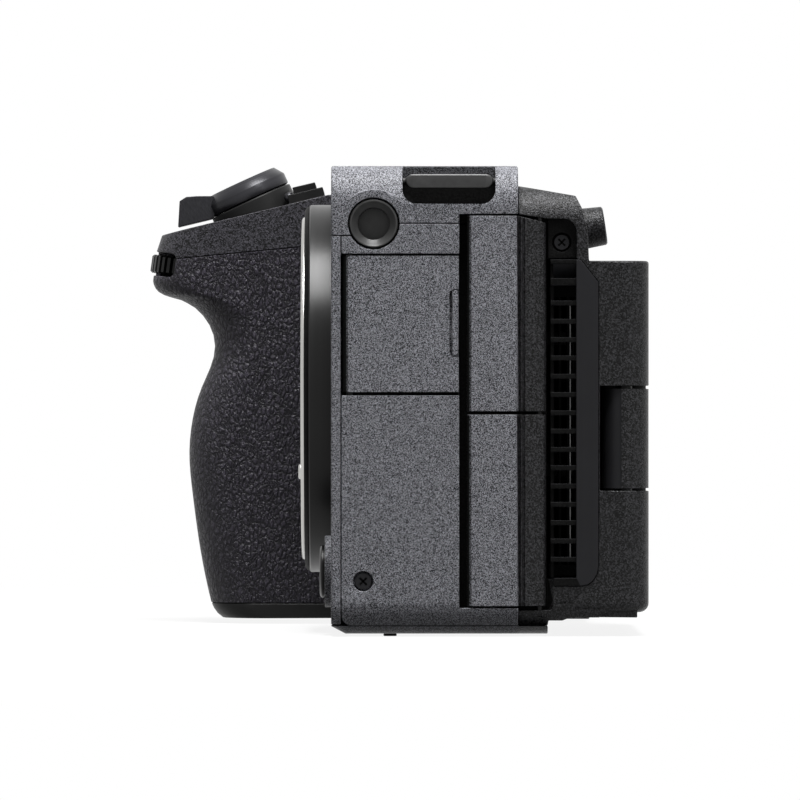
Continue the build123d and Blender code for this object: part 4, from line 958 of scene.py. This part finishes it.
planeLook = {
    "place": (-38.5, 0.25, 77.44), "ring": ((1.35, 0.0), (1.35, 0.05), (1.15, 0.05), (1.15, 0.0)),
    "line": ((-40.6, 0.15, 77.44), (-36.4, 0.35, 77.49)),
}


# A ring crossed by a line marks the sensor's plane on the top
def sensorPlaneMark(look):
    bm = bmesh.new()
    spinInto(bm, look["ring"], standing(look["place"], (0, 0, 1)), 40)
    boxInto(bm, *look["line"])
    toPiece(bm, "sensorPlaneMark", "camera", ["whiteMark"])


sensorPlaneMark(planeLook)

# Each screw has a place, a direction and the radius of its head; long and wide are shares of that radius
crossLook = {
    "long": 0.62, "wide": 0.13, "low": -0.38, "high": -0.3,
    "screws": (
        ((44.75, -7.24, 8.78), (1, 0, 0), 1.3),
        ((41.45, 25.57, 64.76), (1, 0, 0), 1.22),
        ((33.0, -6.0, 0.15), (0, 0, -1), 1.3),
        ((-41.0, -6.0, 0.15), (0, 0, -1), 1.3),
        ((33.0, 12.0, 0.15), (0, 0, -1), 1.3),
        ((-41.0, 12.0, 0.15), (0, 0, -1), 1.3),
    ),
}


# A near-black cross in the middle of each screw's head, painted shade in the well of its slot
def screwCrosses(look):
    bm = bmesh.new()
    for place, up, head in look["screws"]:
        corner = Vector((head * look["long"], head * look["wide"], 0))
        low, high = Vector((0, 0, look["low"])), Vector((0, 0, look["high"]))
        for turn in (45, 135):
            cross = standing(place, up) @ Matrix.Rotation(math.radians(turn), 4, "Z")
            boxInto(bm, low - corner, high + corner, cross)
    toPiece(bm, "screwCrosses", "camera", ["recess"])


screwCrosses(crossLook)
print("fittings made")

shot = {
    "place": (1.645, -0.00116, 0.0387), "turn": (90, 0, 90), "lens": 436.6, "sensor": 36.0,
    "clipStart": 0.1,
}


def placeCamera(look):
    data = bpy.data.cameras.new("camera")
    data.lens = look["lens"]
    data.sensor_width = look["sensor"]
    data.clip_start = look["clipStart"]
    camera = bpy.data.objects.new("camera", data)
    scene.collection.objects.link(camera)
    camera.location = look["place"]
    camera.rotation_euler = [math.radians(angle) for angle in look["turn"]]
    scene.camera = camera


lamps = {
    "overheadSoftbox": {"place": (0.2, 0.02, 0.8), "size": (0.36, 0.46), "power": 16.0},
    "rearStrip": {"place": (0.62, 0.7, 0.2), "size": (0.07, 0.5), "power": 1.0},
    "keySide": {"place": (0.6, 0.34, 0.66), "size": (0.16, 0.16), "power": 1.2},
}


# A lamp that faces the middle of the object
def placeLamp(name, lamp):
    data = bpy.data.lights.new(name, "AREA")
    data.shape = "RECTANGLE"
    data.size, data.size_y = lamp["size"]
    data.energy = lamp["power"]
    lampObject = bpy.data.objects.new(name, data)
    scene.collection.objects.link(lampObject)
    lampObject.location = lamp["place"]
    middle = (cadBox[0] + cadBox[1]) / 2
    lampObject.rotation_euler = (middle - Vector(lamp["place"])).to_track_quat("-Z", "Y").to_euler()


# One where a ray looks at the background itself, or sees it in metal or through glass
def seenDirectly(graph):
    total = graph.node("LightPath", output="Is Camera Ray")
    for name in ("Is Glossy Ray", "Is Transmission Ray"):
        ray = graph.node("LightPath", output=name)
        total = graph.node("Math", {"operation": "ADD", "use_clamp": True}, {0: total, 1: ray})
    return total


backdrop = {
    "fill": 0.13, "floorSize": 400.0, "floorShade": 0.85, "floorGlow": 0.86, "glowReach": 0.4,
    "underFloor": 0.05,
}


# White to the eye, and a dim even light on the object
def makeWorld(look):
    world = bpy.data.worlds.new("studio")
    world.use_nodes = True
    scene.world = world
    graph = Graph(world.node_tree)
    graph.tree.nodes.clear()
    fill = graph.node("Background", {}, {"Color": shade(1.0), "Strength": look["fill"]})
    white = graph.node("Background", {}, {"Color": shade(1.0)})
    mixed = graph.node("MixShader", {}, {0: seenDirectly(graph), 1: fill, 2: white})
    graph.node("OutputWorld", {}, {"Surface": mixed})


# White to the eye away from the object, a little shadow near it, and dark to the light that it throws up
def makeFloor(look):
    material = bpy.data.materials.new("studioFloor")
    material.use_nodes = True
    graph = Graph(material.node_tree)
    graph.tree.nodes.clear()
    plain = graph.node("BsdfDiffuse", {}, {"Color": shade(look["floorShade"])})
    glow = graph.node("Emission")
    place = graph.node("TexCoord", output="Object")
    away = graph.node("VectorMath", {"operation": "LENGTH"}, {0: place}, "Value")
    reach = {"Value": away, "From Max": look["glowReach"], "To Min": look["floorGlow"]}
    share = graph.node("MapRange", {}, reach)
    shown = graph.node("MixShader", {}, {0: share, 1: plain, 2: glow})
    under = graph.node("BsdfDiffuse", {}, {"Color": shade(look["underFloor"])})
    mixed = graph.node("MixShader", {}, {0: seenDirectly(graph), 1: under, 2: shown})
    graph.node("OutputMaterial", {}, {"Surface": mixed})
    bm = bmesh.new()
    bmesh.ops.create_grid(bm, x_segments=1, y_segments=1, size=look["floorSize"] / 2)
    bmesh.ops.translate(bm, vec=(0, 0, cadBox[0].z), verts=bm.verts)
    mesh = bpy.data.meshes.new("floor")
    bm.to_mesh(mesh)
    bm.free()
    mesh.materials.append(material)
    floor = bpy.data.objects.new("floor", mesh)
    scene.collection.objects.link(floor)


placeCamera(shot)
for name, lamp in lamps.items():
    placeLamp(name, lamp)
makeWorld(backdrop)
makeFloor(backdrop)
scene.view_settings.view_transform = "Standard"
print("studio ready")
